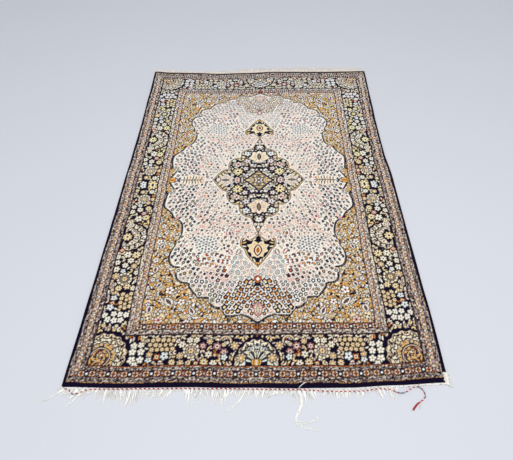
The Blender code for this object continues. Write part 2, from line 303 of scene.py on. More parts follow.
sewn_route = smooth_route([(x, y, CORD_Z_ON_STRIP) for x, y in SEWN_CORD_FRONT], ROUTE_STEP)
rise = CORD_Z_ON_STRIP - CORD_Z_ON_FLOOR
loose_route = smooth_route([(x, y, CORD_Z_ON_FLOOR + rise * high) for x, y, high in LOOSE_CORD], ROUTE_STEP)
back_route = []
for step in range(int((side_x(1, 1) - side_x(-1, 1)) / ROUTE_STEP)):
    x = side_x(-1, 1) + ROUTE_STEP * step
    back_route.append((x, end_y(1, x / RUG_WIDTH + 0.5, SEAM_GAP + STRIP_WIDE / 2), CORD_Z_ON_STRIP))
print("loose cord, metres:", round(route_length(loose_route), 3))

# %% Materials of its threads


def thread_finish(name, colour, second=None, places=()):
    """Matt cotton or silk thread: fine fibres along its length, and a second dye near some places."""
    made, net, place = new_finish(name)
    fibre, worn = place.noise(900.0, 3.0), place.noise(60.0, 2.0)
    dye = net.node("RGB")
    dye.socket.default_value = colour
    for x, y, reach in places:
        away = net.node("VectorMath", {"operation": "DISTANCE"}, {0: place, 1: (x, y, 0.003)}, out="Value")
        dye = ((reach - away) * 400 + worn * 2 - 0.5).clamped().mixed(dye, second)
    dye = dye.shaded(fibre * 0.55 + worn * 0.35 + 0.55)
    bump = fibre.bump(0.5, 0.0004)
    shade_with(net, Base_Color=dye, Roughness=0.8 - 0.15 * worn, Normal=bump, Sheen_Weight=0.05)
    return made


TURQUOISE = opaque(86, 178, 190)
red_thread = thread_finish("red_twined_thread", opaque(178, 0, 34))
faded_thread = thread_finish("faded_twined_thread", opaque(222, 198, 192))
white_thread = thread_finish(
    "white_twined_thread",
    opaque(236, 230, 222),
    TURQUOISE,
    ((0.5425, -0.958, 0.022), (0.530, -0.941, 0.010), (0.462, -0.960, 0.020), (-0.585, -0.952, 0.008)),
)
print("thread materials:", red_thread.name, white_thread.name)

# %% Twine the plies
PLY_AWAY = 0.00065  # from the middle of the cord to the middle of a ply


def curve_object(name, splines, thick, sides_level, materials):
    """A mesh of tubes. Each spline is its points, its radius shares and its material's number."""
    data = bpy.data.curves.new(name, "CURVE")
    data.dimensions = "3D"
    data.bevel_depth = thick / 2
    data.bevel_resolution = sides_level
    data.use_fill_caps = True
    for material in materials:
        data.materials.append(material)
    for points, radii, number in splines:
        spline = data.splines.new("POLY")
        spline.points.add(len(points) - 1)
        spline.points.foreach_set("co", [value for x, y, z in points for value in (x, y, z, 1)])
        spline.points.foreach_set("radius", radii)
        spline.material_index = number
        spline.use_smooth = True
    made = bpy.data.objects.new(name, data)
    bpy.context.scene.collection.objects.link(made)
    bpy.ops.object.select_all(action="DESELECT")
    made.select_set(True)
    bpy.context.view_layer.objects.active = made
    bpy.ops.object.convert(target="MESH")
    return bpy.context.object


def leftwards(route, i):
    """A step of length 1 to the left of a route at one of its points, seen from above."""
    before, after = route[max(i - 1, 0)], route[min(i + 1, len(route) - 1)]
    dx, dy = after[0] - before[0], after[1] - before[1]
    long = math.hypot(dx, dy)
    return -dy / long, dx / long


def plies(route):
    """Two threads wound round a route, half a turn apart. Each is loose and full where it lies on top."""
    wound, full, gone = ([], []), ([], []), 0.0
    for i, (x, y, z) in enumerate(route):
        left_x, left_y = leftwards(route, i)
        gone += math.dist(route[i - 1], route[i]) if i else 0
        for ply in (0, 1):
            turn = math.tau * gone / TWIST_PITCH + math.pi * ply
            aside, up = 0.6 * PLY_AWAY * math.cos(turn), PLY_AWAY * math.sin(turn)
            wound[ply].append((x + left_x * aside, y + left_y * aside, z + up))
            full[ply].append(1 + 0.35 * math.sin(turn))
    return [(wound[ply], full[ply], ply) for ply in (0, 1)]


def opened(route, count, spread, seed):
    """A cut ply whose fibres have parted: a few strands that fan out towards its end."""
    chance = random.Random(seed)
    line = smooth_route([(x, y, CORD_Z_ON_FLOOR) for x, y in route], 0.003)
    splines = []
    for i in range(count):
        aside = (i / (count - 1) - 0.5) * spread
        wave, reach = chance.uniform(0, 6), chance.uniform(0.86, 1.04)
        points = []
        for j, (x, y, z) in enumerate(line):
            left_x, left_y = leftwards(line, j)
            share = j / (len(line) - 1)
            off = aside * (0.25 + 0.75 * share) + 0.0004 * math.sin(wave + 5 * share)
            x0, y0, _ = line[0]
            x, y = x0 + (x - x0) * reach, y0 + (y - y0) * reach
            high = z - 0.0004 + 0.0009 * math.sin(wave * 2 + 3 * share) ** 2
            points.append((x + left_x * off, y + left_y * off, high))
        splines.append((points, [1.25 - 0.8 * j / (len(line) - 1) for j in range(len(line))], 0))
    return splines


threads = [red_thread, white_thread]
twining_front = curve_object("twined_cord_front", plies(sewn_route), 0.0029, 1, threads)
twining_back = curve_object("twined_cord_back", plies(back_route), 0.0020, 1, [faded_thread, white_thread])
loose_cord = curve_object("twined_cord_loose", plies(loose_route), 0.0028, 1, threads)
tail_red = curve_object("parted_ply_red", opened(RED_TAIL, 7, 0.0062, 4), 0.0017, 0, [red_thread])
tail_white = curve_object("parted_ply_white", opened(WHITE_TAIL, 4, 0.0030, 9), 0.0013, 0, [white_thread])

for piece, node in (
    (twining_front, "twining_front"),
    (twining_back, "twining_back"),
    (loose_cord, "loose_cord"),
    (tail_red, "tail_red"),
    (tail_white, "tail_white"),
):
    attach(piece, "root")
    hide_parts(node)
loose_route[::4] + [loose_route[-1]]
print("triangles in the sewn cord:", sum(len(face.vertices) - 2 for face in twining_front.data.polygons))

# %% [markdown]
# ## The dyes and the chart
#
# The chart is one quarter of the rug, because the pattern repeats in a mirror on all four sides of its
# middle. It is a picture made of numbers: rows of squares 0.8 mm wide, each with the light of its dye. The
# weaver's tables further down count in squares of 1.25 mm from the middle of the rug: first across, then
# along. A shape is given by how far each square lies inside its edge, so that the edges come out soft, not
# jagged.

# %% Dyes, and an empty chart
DYES = {
    "navy": (12, 3, 34),
    "ink": (34, 25, 28),
    "ivory": (236, 222, 208),
    "white": (250, 243, 231),
    "milk": (236, 230, 208),
    "cream": (230, 212, 182),
    "sand": (200, 180, 152),
    "honey": (226, 194, 144),
    "gold": (206, 160, 92),
    "orange": (178, 110, 48),
    "amber": (158, 92, 36),
    "rust": (128, 74, 42),
    "brown": (84, 60, 48),
    "slate": (84, 76, 76),
    "grey": (132, 120, 112),
    "mauve": (188, 172, 168),
    "rose": (204, 152, 148),
    "pink": (236, 206, 192),
    "plum": (166, 120, 116),
    "blush": (222, 188, 176),
    "red": (132, 46, 50),
    "sky": (206, 216, 214),
    "olive": (122, 106, 68),
}
DYES = {name: np.array(linear(*colour)) for name, colour in DYES.items()}

FINE = 0.8  # millimetres to a square of the chart
SQUARE = 1.25  # and to a square of the weaver's tables
WIDE, LONG = 782, 1157
HALF_WIDE, HALF_LONG = 625, 925  # millimetres from the rug's middle to its sides and ends
across_mm = (np.arange(WIDE) + 0.5) * FINE
along_mm = (np.arange(LONG) + 0.5) * FINE
whole_x, whole_y = np.meshgrid(across_mm, along_mm)
everywhere = (slice(None), slice(None))
chart = np.zeros((LONG, WIDE, 3))


def squares(*sizes):
    """Squares of the weaver's tables in millimetres."""
    return tuple(size * SQUARE for size in sizes)


def pointing(turn):
    """A step of length 1 in a direction in degrees."""
    return math.cos(math.radians(turn)), math.sin(math.radians(turn))


def polar(along, across):
    """How far places are from a motif's middle, and their angles from where it points."""
    return np.hypot(along, across), np.arctan2(across, along)


def around(x, y, reach, turn=0.0):
    """The part of the chart round a place, and how far its squares lie along and across a turned motif."""
    first, last = max(0, int((x - reach) / FINE)), min(WIDE, int((x + reach) / FINE) + 2)
    top, bottom = max(0, int((y - reach) / FINE)), min(LONG, int((y + reach) / FINE) + 2)
    part = (slice(top, bottom), slice(first, last))
    dx, dy = whole_x[part] - x, whole_y[part] - y
    c, s = pointing(turn)
    return part, dx * c + dy * s, dy * c - dx * s


def dyed(part, inside, dye):
    """Dyes the squares of a part of the chart by how many millimetres they lie inside a shape."""
    share = np.clip(inside / FINE + 0.5, 0, 1)[..., None]
    chart[part] += (DYES[dye] - chart[part]) * share


def averaged(picture, reach):
    """Each square of a chart as the mean of the squares round it, up to this many away."""
    for axis in (0, 1):
        size = picture.shape[axis]
        ends = [(reach, reach) if i == axis else (0, 0) for i in range(picture.ndim)]
        total = np.insert(np.cumsum(np.pad(picture, ends, mode="edge"), axis), 0, 0, axis)
        last = np.take(total, range(2 * reach + 1, size + 2 * reach + 1), axis)
        picture = (last - np.take(total, range(size), axis)) / (2 * reach + 1)
    return picture


# Uneven flecks, a few millimetres wide, for all that looks speckled. Their mean is 0 and their spread 1.
rng = np.random.default_rng(3)


def uneven(cell):
    """Noise in cells of so many squares, slightly softened."""
    noise = rng.random((LONG // cell + 1, WIDE // cell + 1)).repeat(cell, 0).repeat(cell, 1)[:LONG, :WIDE]
    noise = averaged(noise, 1)
    return (noise - noise.mean()) / noise.std()


mottle, coarse = uneven(3), uneven(6)
print("squares in the chart:", chart.shape[0] * chart.shape[1])

# %% [markdown]
# ## The motifs
#
# A weaver builds a whole garden from a few shapes: dots, flowers, leaves, bent scrolls, palmettes and fans.
# Each function below draws one of them at a place, at a size in millimetres.

# %% Dots, flowers and leaves
STYLES = {
    # petals, how deep their gaps are, outline, petals' dye, ring, heart
    "white": (5, 0.20, "navy", "milk", "white", "rose"),
    "cream": (6, 0.24, "navy", "cream", "white", "slate"),
    "blue": (5, 0.25, "navy", "sky", "white", "slate"),
    "star": (6, 0.46, "navy", "honey", "cream", "orange"),
    "sun": (8, 0.26, "navy", "honey", "cream", "brown"),
    "rose": (6, 0.22, "navy", "plum", "pink", "brown"),
    "dark": (5, 0.25, "cream", "grey", "white", "red"),
    "tulip": (4, 0.35, "navy", "orange", "cream", "rust"),
    "speck": (7, 0.26, "navy", "sand", "gold", "cream"),
    "meadow": (5, 0.28, "ink", "white", "pink", "slate"),
    "lilac": (5, 0.28, "ink", "mauve", "white", "slate"),
    "blush": (6, 0.25, "brown", "pink", "rose", "red"),
    "night": (4, 0.40, "cream", "navy", "sand", "white"),
    "meal": (5, 0.30, "ink", "honey", "cream", "rust"),
}


def dot(x, y, r, dye):
    part, along, across = around(x, y, r + 2)
    dyed(part, r - np.hypot(along, across), dye)


def flower(x, y, r, style, turn=0.0, outline=2.4):
    """Petals round a ring and a heart, with dark lines between them and a thin dark outline."""
    petals, gap, edge, petal, ring, heart = STYLES[style]
    part, along, across = around(x, y, r + 3, turn)
    away, angle = polar(along, across)
    notch = 0.5 + 0.5 * np.cos(petals * angle)
    rim = r * (1 - gap * notch)
    dyed(part, rim + outline - away, edge)
    dyed(part, rim - away, petal)
    dyed(part, np.minimum(rim - away, (notch - 0.90) * r * 0.7), edge)
    dyed(part, 0.50 * r - away, ring)
    dyed(part, 0.26 * r - away, heart)


def rosette(x, y, r, ring, heart):
    """A large open flower: ten round petals, a shaded ring and a star in its middle."""
    flower(x, y, r, "cream", 9)
    part, along, across = around(x, y, r + 3)
    away, angle = polar(along, across)
    notch = np.cos(11 * angle)
    dyed(part, r * (0.93 - 0.06 * notch) - away, "cream")
    dyed(part, np.minimum(r * 0.93 - away, (notch - 0.6) * 3), "brown")
    dyed(part, 0.70 * r - away, "ink")
    dyed(part, 0.62 * r - away, ring)
    dyed(part, np.minimum(0.6 * r - away, (np.cos(8 * angle) - 0.5) * 3), "grey")
    dyed(part, 0.42 * r - away, "brown")
    dyed(part, r * (0.32 + 0.06 * np.cos(6 * angle)) - away, heart)
    dyed(part, 0.10 * r - away, "ink")


def leaf(x, y, long, wide, turn, dye, edge=None, rib=None, bend=0.0):
    """A pointed leaf, straight or bent, with an outline and a middle rib if they are named."""
    part, along, across = around(x, y, long / 2 + 3, turn)
    across = across + bend * (along**2 / long - long / 8)
    inside = wide / 2 * (1 - (2 * along / long) ** 2) - np.abs(across)
    if edge:
        dyed(part, inside + 2.0, edge)
    dyed(part, inside, dye)
    if rib:
        dyed(part, np.minimum(inside - 0.15 * wide, wide * 0.14 - np.abs(across)), rib)


def scroll(x, y, r, thick, turn, dye, edge=None, gap=70):
    """A bent scroll: part of a ring, thick in its middle and pointed at both ends, open where turn points."""
    part, along, across = around(x, y, r + thick + 2, turn)
    away, angle = polar(along, across)
    inside = thick / 2 * np.clip((np.abs(np.degrees(angle)) - gap) / 45, -1, 1) - np.abs(away - r)
    if edge:
        dyed(part, inside + 2.0, edge)
    dyed(part, inside, dye)


def stem(points, thick, dye, step=1.1):
    """A thin line through these places."""
    for x, y in smooth_route(points, step):
        dot(x, y, thick / 2, dye)


print("flower styles:", len(STYLES))

# %% Palmettes, fans and flecked grounds
FAN_TEETH = 17


def palmette(x, y, long, wide, turn, dyes, teeth, rays=True):
    """A lotus seen from the side: a scalloped oval, with rays or streaked, and a spindle in its middle."""
    part, along, across = around(x, y, max(long, wide) + 4, turn)
    across = across * (1 + 0.3 * along / long)
    small = min(long, wide)
    away, angle = polar(along / long, across / wide)
    ray = np.cos(teeth * angle)
    rim = 1.06 - 0.24 * np.abs(np.sin(teeth * angle / 2))
    dyed(part, (rim - away) * small + 1.8, dyes[0])
    dyed(part, (rim - away) * small, dyes[1])
    if rays:
        dyed(part, np.minimum(np.minimum(rim - away, away - 0.70), 0.25 * (ray - 0.90)) * small, "brown")
        dyed(part, (0.70 * rim - away) * small, dyes[2])
        dyed(part, np.minimum(0.62 - away, 0.2 * (ray - 0.86)) * small, "brown")
    else:
        streaks = np.cos(0.8 * across + 0.3 * along) + 0.6 * mottle[part]
        dyed(part, np.minimum((rim - away) * small - 2, 2 * streaks), dyes[2])
        dyed(part, np.minimum((rim - away) * small - 4, 2 * (mottle[part] - 1.5)), "rose")
    spindle = (1.25 * long, 0.52 * wide) if rays else (1.0 * long, 0.36 * wide)
    leaf(x, y, *spindle, turn, dyes[3], "brown", "grey")


def coils(size):
    """Slow waves over the whole chart. Their level lines wind like stems."""
    first = np.sin(whole_x / size + 2.0 * np.sin(whole_y / size / 2.7))
    return first + np.sin(whole_y / size * 1.1 + 2.2 * np.sin(whole_x / size / 3.0))


def flecks(part, inside, dark, light):
    """Strews dark and light flecks over a shape."""
    dyed(part, np.minimum(inside, (coarse[part] - 0.50) * 4), dark)
    dyed(part, np.minimum(inside, (-coarse[part] - 0.45) * 4), light)


def fan(x, y, long, wide, turn, layers, behind):
    """A great open palmette: scalloped rings round a place, some of them flecked with dark and light.

    It reaches a share of its length behind its place. A half fan has dark rays, a rounder one has none.
    """
    part, along, across = around(x, y, max(long, wide) + 9, turn)
    small = min(long, wide)
    away, angle = polar(along / long, across / wide)
    open_side = (along / long + behind) * small
    dyed(part, np.minimum((1 - away) * small + 7.0, open_side + 2), "navy")
    for size, dye, dark, light in layers:
        rim = np.minimum((size - 0.03 * (1 + np.cos(FAN_TEETH * angle)) - away) * small, open_side)
        dyed(part, rim, dye)
        if dark:
            flecks(part, rim - 1.5, dark, light)
            lines = 0.4 * small * (np.abs(np.sin(angle * FAN_TEETH / 2)) - 0.95) if behind < 0.5 else -1
            dyed(part, np.minimum(rim - 2, lines), dark)


print("motifs are ready")

# %% [markdown]
# ## Where each band lies
#
# Seen from its edge inwards, the rug has a navy edge, a thin gold line, a speckled grey guard stripe, an
# orange one with a row of small flowers, another grey one, and then the wide main border. Three narrow
# stripes close it off from the field. The bands meet in mitres at the corners, so one depth from the edge
# names the band.

# %% Depth from the edge
SIDE_STOPS = (0, 12.5, 14, 27, 46, 60, 62.5, 164, 166, 182, 202, 206)
END_STOPS = (0, 13, 14.5, 31, 52, 65, 67.5, 179, 182, 197, 219, 222)
BAND_DYES = (
    "navy", "gold", "grey", "amber", "grey", "brown", "navy", "brown", "grey", "amber", "slate", "gold",
)  # fmt: skip
MAIN_BORDER, FIELD = 6, 11

from_side, from_end = HALF_WIDE - whole_x, HALF_LONG - whole_y
end_depth = np.interp(from_end, END_STOPS, SIDE_STOPS)
depth = np.minimum(from_side, end_depth)
on_side = from_side < end_depth
band = np.clip(np.searchsorted(SIDE_STOPS, depth, "right") - 1, 0, FIELD)
chart[:] = np.array([DYES[name] for name in BAND_DYES])[band]
taken = []  # what has a place so far: x, y and radius in millimetres


def take(x, y, r):
    taken.append((x, y, r))


def scatter(tries, box, allowed, sizes, room, draw, chance):
    """Draws small motifs at free places in a box until the tries are used up."""
    places = np.array(taken + [(-99.0, -99.0, 0.0)])
    made = []
    for _ in range(tries):
        x, y = chance.uniform(0, box[0]), chance.uniform(0, box[1])
        size = chance.choice(sizes)
        away = np.hypot(places[:, 0] - x, places[:, 1] - y)
        if not allowed(x, y) or np.any(away < places[:, 2] + size * room):
            continue
        places = np.vstack([places, (x, y, size * room)])
        made.append((x, y, size))
    for x, y, size in made:
        draw(x, y, size, chance.random(), chance.uniform(0, 180))
    return len(made)


def value_at(table, x, y):
    """A distance table of the chart at one place."""
    return table[min(LONG - 1, max(0, int(y / FINE))), min(WIDE - 1, max(0, int(x / FINE)))]


print("bands from the edge to the field:", len(BAND_DYES))

# %% [markdown]
# ## The main border
#
# On navy stand great fans, rosettes, sprays of white blossom and clusters of gold stars. The tables give
# each motif's place: squares along the border from its middle, squares across from its outer side, and its
# size. A weaver leaves no bare ground, so the navy between these places is filled with leaves and scrolls
# first. Then the motifs are drawn over the filling.

# %% Motifs of the side and end borders
SIDE_FLOWERS = (
    # style, along, across, radius
    ("sun", 4, 60, 18), ("blue", 6, 25, 12), ("cream", 36, 62, 10), ("speck", 38, 30, 9),
    ("star", 30, 8, 8), ("blue", 105, 32, 8), ("cream", 112, 11, 9), ("cream", 135, 8, 10),
    ("cream", 125, 34, 11), ("rose", 143, 50, 10), ("sun", 120, 63, 11), ("cream", 167, 37, 14),
    ("sun", 163, 61, 13), ("dark", 199, 15, 10), ("cream", 324, 34, 13), ("sun", 325, 61, 14),
    ("tulip", 307, 11, 9), ("cream", 334, 6, 9), ("cream", 348, 48, 11), ("cream", 356, 7, 10),
    ("cream", 367, 33, 10), ("speck", 370, 61, 10), ("cream", 382, 8, 11), ("blue", 389, 30, 8),
    ("cream", 395, 73, 9), ("speck", 408, 12, 12), ("sun", 452, 30, 10), ("star", 446, 54, 11),
    ("cream", 452, 73, 9), ("blue", 487, 23, 10), ("tulip", 505, 22, 9), ("blue", 519, 18, 11),
    ("white", 541, 50, 9), ("white", 540, 33, 9), ("white", 546, 8, 9), ("white", 559, 20, 10),
    ("white", 561, 38, 10), ("white", 560, 56, 9), ("white", 543, 68, 9), ("speck", 74, 72, 9),
    ("speck", 92, 58, 9),
)  # fmt: skip
END_FLOWERS = (
    ("speck", 62, 60, 12), ("rose", 90, 42, 11), ("blue", 88, 28, 9), ("rose", 110, 57, 12),
    ("cream", 116, 9, 10), ("cream", 131, 34, 10), ("sun", 141, 12, 11), ("speck", 131, 71, 9),
    ("rose", 149, 57, 10), ("cream", 206, 62, 10), ("speck", 208, 30, 10), ("blue", 251, 29, 12),
    ("tulip", 271, 27, 10), ("blue", 292, 19, 9), ("speck", 292, 34, 9), ("cream", 168, 74, 9),
    ("white", 337, 60, 10), ("white", 318, 62, 9), ("white", 339, 43, 10), ("sun", 228, 12, 9),
    ("white", 316, 43, 10), ("white", 337, 20, 11), ("white", 315, 21, 10), ("white", 327, 7, 9),
    ("tulip", 163, 8, 8), ("speck", 205, 9, 10), ("cream", 186, 74, 9), ("speck", 42, 26, 13),
)  # fmt: skip


BORDER_SIDE, BORDER_END = 560.75, 860.9  # where the main border's outer sides lie, in millimetres


def side_place(along, across):
    return BORDER_SIDE - SQUARE * across, SQUARE * along * 0.983


def end_place(along, across):
    return SQUARE * along, BORDER_END - SQUARE * across


CORNER_BLOSSOM = (BORDER_SIDE - 26 * SQUARE, BORDER_END - 26 * SQUARE)
SPECKLED = (1.0, "sand", "slate", "milk")
SIDE_FAN = (SPECKLED, (0.76, "navy", None, None), (0.67, "cream", "grey", "pink"), (0.40, "navy", None, None))
END_FAN = (SPECKLED, (0.80, "ink", None, None), (0.76, "sky", "slate", "cream"), (0.52, "navy", None, None))
CORNER_FAN = (
    (1.0, "sand", "navy", "cream"),
    (0.84, "navy", None, None),
    (0.80, "sand", "navy", "milk"),
    (0.65, "navy", None, None),
    (0.61, "sand", "navy", "gold"),
)
FANS = (
    # place, length, width, turn, layers and how far it reaches behind its place
    (side_place(250, 14), 84, 72, 180, SIDE_FAN, 0.10),
    (end_place(0, 8), 88, 76, -90, END_FAN, 0.10),
    (CORNER_BLOSSOM, 92, 84, -135, CORNER_FAN, 0.80),
)
ROSETTES = (
    (side_place(73, 40), 22, "mauve", "honey"),
    (side_place(418, 40), 23, "grey", "honey"),
    (end_place(180, 44), 23, "mauve", "honey"),
)
flowers = []  # each with its place, radius, style and turn
for place, table in ((side_place, SIDE_FLOWERS), (end_place, END_FLOWERS)):
    for i, (style, along, across, r) in enumerate(table):
        flowers.append((*place(along, across), r * SQUARE, style, 37 * i))
chance = random.Random(17)
for place, first, count, rows, low in ((side_place, 476, 4, 3, 46), (end_place, 234, 5, 3, 49)):
    for i in range(count):
        for j in range(rows):
            along = first + 14 * i + 6 * (j % 2) - 3 + chance.uniform(-1, 1)
            x, y = place(along, low + 13 * j + chance.uniform(-2, 2))
            flowers.append((x, y, chance.uniform(6.2, 7.6) * SQUARE, "star", chance.uniform(0, 50)))
for x, y, r, style, turn in flowers:
    take(x, y, r)
for (x, y), r, ring, heart in ROSETTES:
    take(x, y, r * SQUARE)
for (x, y), long, wide, turn, layers, behind in FANS:
    c, s = pointing(turn)
    take(x + 0.4 * long * c, y + 0.4 * long * s, 0.8 * wide)
    take(x, y, 0.7 * wide)
print("motifs in the main border:", len(taken))

# %% Fill the navy ground between them


def border_leaf(x, y, size, kind, turn):
    dyes = ("cream", "honey", "sand", "cream", "honey", "mauve", "cream", "orange", "pink", "milk")
    dye = dyes[int(kind * 99) % 10]
    if kind < 0.16:
        flower(x, y, size * 1.05, ("cream", "speck", "sun", "star")[int(kind * 25)], turn, 1.6)
    elif kind < 0.66:
        leaf(x, y, size * 2.8, size * 0.95, turn, dye, "navy", None, 3 * kind - 1.3)
    else:
        scroll(x, y, size * 0.95, 5.4, turn * 2, dye, "navy", 50)


def in_main_border(x, y):
    return value_at(band, x, y) == MAIN_BORDER


chance = random.Random(21)
for sizes in ((8.0, 9.5), (5.5, 6.5)):
    print("fillings:", scatter(9000, (562, 860), in_main_border, sizes, 1.0, border_leaf, chance))

# %% Draw the motifs over the filling
for (x, y), long, wide, turn, layers, behind in FANS:
    fan(x, y, long, wide, turn, layers, behind)
flower(*side_place(250, 15), 20, "sun")
for sign in (-1, 1):
    dot(*side_place(250 + 22 * sign, 20), 9, "navy")
    leaf(*side_place(250 + 66 * sign, 14), 30, 15, 60 * sign, "cream", "navy", "orange", bend=0.6 * sign)
    leaf(*side_place(250 + 74 * sign, 62), 40, 13, -70 * sign, "navy")

# The rays and the gold heart of the lotus in the middle of each end.
x, y = end_place(0, 10)
for turn in range(-162, -15, 12):
    c, s = pointing(turn)
    leaf(x + 30 * c, y + 30 * s, 30, 6, turn, ("slate", "sky", "cream")[turn // 12 % 3], "navy")
for sign in (-1, 1):
    leaf(x + 9 * sign, y - 2, 26, 13, -70 * sign, "gold", "navy")
leaf(x, y - 4, 34, 18, 90, "gold", "navy", "cream")
dot(x, y - 16, 3.5, "navy")
scroll(*end_place(64, 18), 20, 6, -60, "cream", "navy", 60)
scroll(*end_place(88, 72), 19, 6, 60, "sand", "navy", 60)

# The coiled blossom in the corner fan, in a gold drop with a cream line, which points outwards.
x, y = CORNER_BLOSSOM
for grow, dye in ((7, "navy"), (2.5, "cream"), (0.5, "navy"), (-3, "gold")):
    leaf(x + 12, y + 12, 74 + 2 * grow, 44 + grow, 45, dye)
    dot(x, y, 31 + grow, dye)
part, along, across = around(x, y, 38)
away, angle = polar(along, across)
coil = np.cos(3 * angle + away * 0.42) + 0.5 * mottle[part]
dyed(part, 29 - away, "orange")
dyed(part, np.minimum(28 - away, 3 * coil - 1.0), "navy")
dyed(part, np.minimum(28 - away, -3 * coil - 2.0), "sand")
flecks(part, np.minimum(28 - away, 3 - 3 * np.abs(coil)), "slate", "gold")
dot(x - 4, y - 8, 3.6, "sky")
part, along, across = around(x + 27, y + 27, 14)
flecks(part, 12 - np.hypot(along, across), "ink", "gold")

for (x, y), r, ring, heart in ROSETTES:
    rosette(x, y, r * SQUARE, ring, heart)
for x, y, r, style, turn in flowers:
    flower(x, y, r, style, turn, 3.4)
for low, high in ((62.5, 65.5), (160.5, 164)):  # navy along both edges of the border
    chart[(depth > low) & (depth < high)] = DYES["navy"]
print("motifs drawn:", len(flowers) + len(FANS) + len(ROSETTES))

# %% [markdown]
# ## The four gold spandrels
#
# Between the border and the ivory field lie four gold corners. Dark stems coil over the gold, with small
# blossom so dense that the gold shows in strands only. The coils are the level lines of slow waves.

# %% Coils and blossom on gold
in_spandrel = band == FIELD
chart[in_spandrel] = DYES["gold"]
wave = coils(9)
for name, chosen in (
    ("ink", np.abs(wave) < 0.20),
    ("cream", (wave > 1.3) | (mottle < -1.5)),
    ("brown", (mottle > 1.1) & (wave > 0)),
    ("navy", (mottle > 1.3) & (wave < 0)),
    ("orange", (wave < -1.3) & (mottle > 0.2)),
):
    chart[in_spandrel & chosen] = DYES[name]
taken.clear()
SPANDREL_FLOWERS = (
    ("meadow", 265, 458, 13), ("meadow", 225, 498, 11), ("blush", 285, 553, 12), ("night", 317, 547, 10),
    ("meadow", 205, 562, 9), ("lilac", 322, 505, 9), ("meadow", 322, 280, 11), ("meadow", 318, 215, 9),
    ("lilac", 290, 330, 9), ("meadow", 322, 350, 10), ("lilac", 322, 420, 10), ("meadow", 150, 562, 9),
)  # fmt: skip
for style, across, along, r in SPANDREL_FLOWERS:
    flower(*squares(across, along, r), style, 11 * r)
    take(*squares(across, along, r))
for *sizes, turn in (
    (263, 495, 22, 11, -45), (316, 520, 15, 10, 80), (192, 527, 16, 9, -60),
    (300, 440, 12, 8, 60), (318, 385, 14, 9, 90), (310, 300, 13, 8, 70),
):  # fmt: skip
    x, y, long, wide = squares(*sizes)
    palmette(x, y, long * 0.85, wide, turn, ("ink", "white", "pink", "slate"), 7)
    take(x, y, wide)


def spandrel_blossom(x, y, size, kind, turn):
    if kind < 0.46:
        flower(x, y, size, ("meadow", "cream", "meadow", "meal", "cream", "night")[int(kind * 13)], turn, 2.0)
    elif kind < 0.68:
        leaf(x, y, size * 2.3, size * 1.2, turn, ("navy", "ink", "navy")[int(kind * 99) % 3])
    else:
        dye = ("white", "sky", "pink", "cream", "white")[int(kind * 99) % 5]
        leaf(x, y, size * 2.4, size, turn, dye, "ink", None, 2 * kind - 1.6)


def on_gold(x, y):
    return value_at(in_spandrel, x, y)


chance = random.Random(5)
for sizes, room in (((7.0, 8.5, 9.5), 1.15), ((4.8, 5.8), 1.1)):
    print("spandrel blossom:", scatter(5000, (419, 707), on_gold, sizes, room, spandrel_blossom, chance))

# %% [markdown]
# ## The ivory field
#
# The ivory field has a lobed outline: a dark line with pale piping inside it. The outline is a table of
# stretches, with a sharp notch between two of them. Each angle from the middle meets it once, so that one
# interpolation tells for every square of the chart how far inside it lies.

# %% The lobed outline
FIELD_EDGE = (
    ((330, 0), (322, 22), (305, 52)),
    ((305, 52), (325, 61), (332, 83), (334, 115), (328, 133), (305, 155), (293, 178), (282, 184)),
    (
        (282, 184), (264, 202), (256, 234), (259, 265), (273, 301),
        (283, 328), (282, 352), (270, 374), (251, 380),
    ),
    ((251, 380), (243, 384), (252, 401), (250, 420), (237, 432), (216, 436)),
    ((210, 437), (207, 451), (193, 470), (177, 483), (155, 485), (150, 484)),
    ((150, 484), (143, 500), (130, 514), (114, 518)),
    ((113, 517), (103, 528), (90, 541), (70, 543), (53, 537)),
    ((53, 537), (33, 543), (17, 552), (0, 563)),
)  # fmt: skip


def edge_route(stretches):
    """A quarter outline in millimetres, smooth within each stretch and sharp between two."""
    route = []
    for stretch in stretches:
        route += smooth_route([squares(*point) for point in stretch], 1.5)
    return route


def inside_of(route, middle=(0.0, 0.0)):
    """How far each square of the chart lies inside a quarter outline that each angle meets once."""
    x, y = whole_x - middle[0], whole_y - middle[1]
    points = np.array(route) - middle
    angles, radii = np.arctan2(points[:, 1], points[:, 0]), np.hypot(points[:, 0], points[:, 1])
    order = np.argsort(angles)
    return np.interp(np.arctan2(y, x), angles[order], radii[order]) - np.hypot(x, y)


field_route = edge_route(FIELD_EDGE)
in_field = inside_of(field_route)
dyed(everywhere, in_field, "ivory")
stem(field_route, 4.8, "navy", 0.9)
for i, (x, y) in enumerate(field_route[::3]):  # the steps of the knots along the slanting edge
    dot(x * 0.990, y * 0.993, 2.8 if i % 2 else 1.8, "navy")
    dot(x * 0.975, y * 0.982, 2.6, "white")
print("outline of the field, metres:", round(route_length(field_route) * 4 / 1000, 2))

# %% The medallion, and its two pendants
MEDALLION_EDGE = (
    ((170, 0), (161, 12), (145, 35), (129, 52), (112, 59)),
    ((112, 60), (114, 75), (111, 92), (101, 108), (85, 119), (70, 120)),
    ((70, 123), (70, 136), (66, 152), (54, 166), (40, 174), (28, 175)),
    ((28, 178), (20, 198), (11, 220), (0, 246)),
)
PENDANT_EDGE = (
    ((0, -53), (8, -44), (16, -36), (26, -27), (35, -30)),
    ((35, -30), (47, -38), (55, -32), (56, -8), (44, 7)),
    ((42, 7), (37, 20), (32, 31), (26, 40)),
    ((25, 41), (15, 56), (6, 66), (0, 76)),
)
medallion_route = edge_route(MEDALLION_EDGE)
in_medallion = inside_of(medallion_route)
PENDANT_Y = 303 * SQUARE
pendant_route = [(x, y + PENDANT_Y) for x, y in edge_route(PENDANT_EDGE)]
in_pendant = inside_of(pendant_route, (0.0, PENDANT_Y))
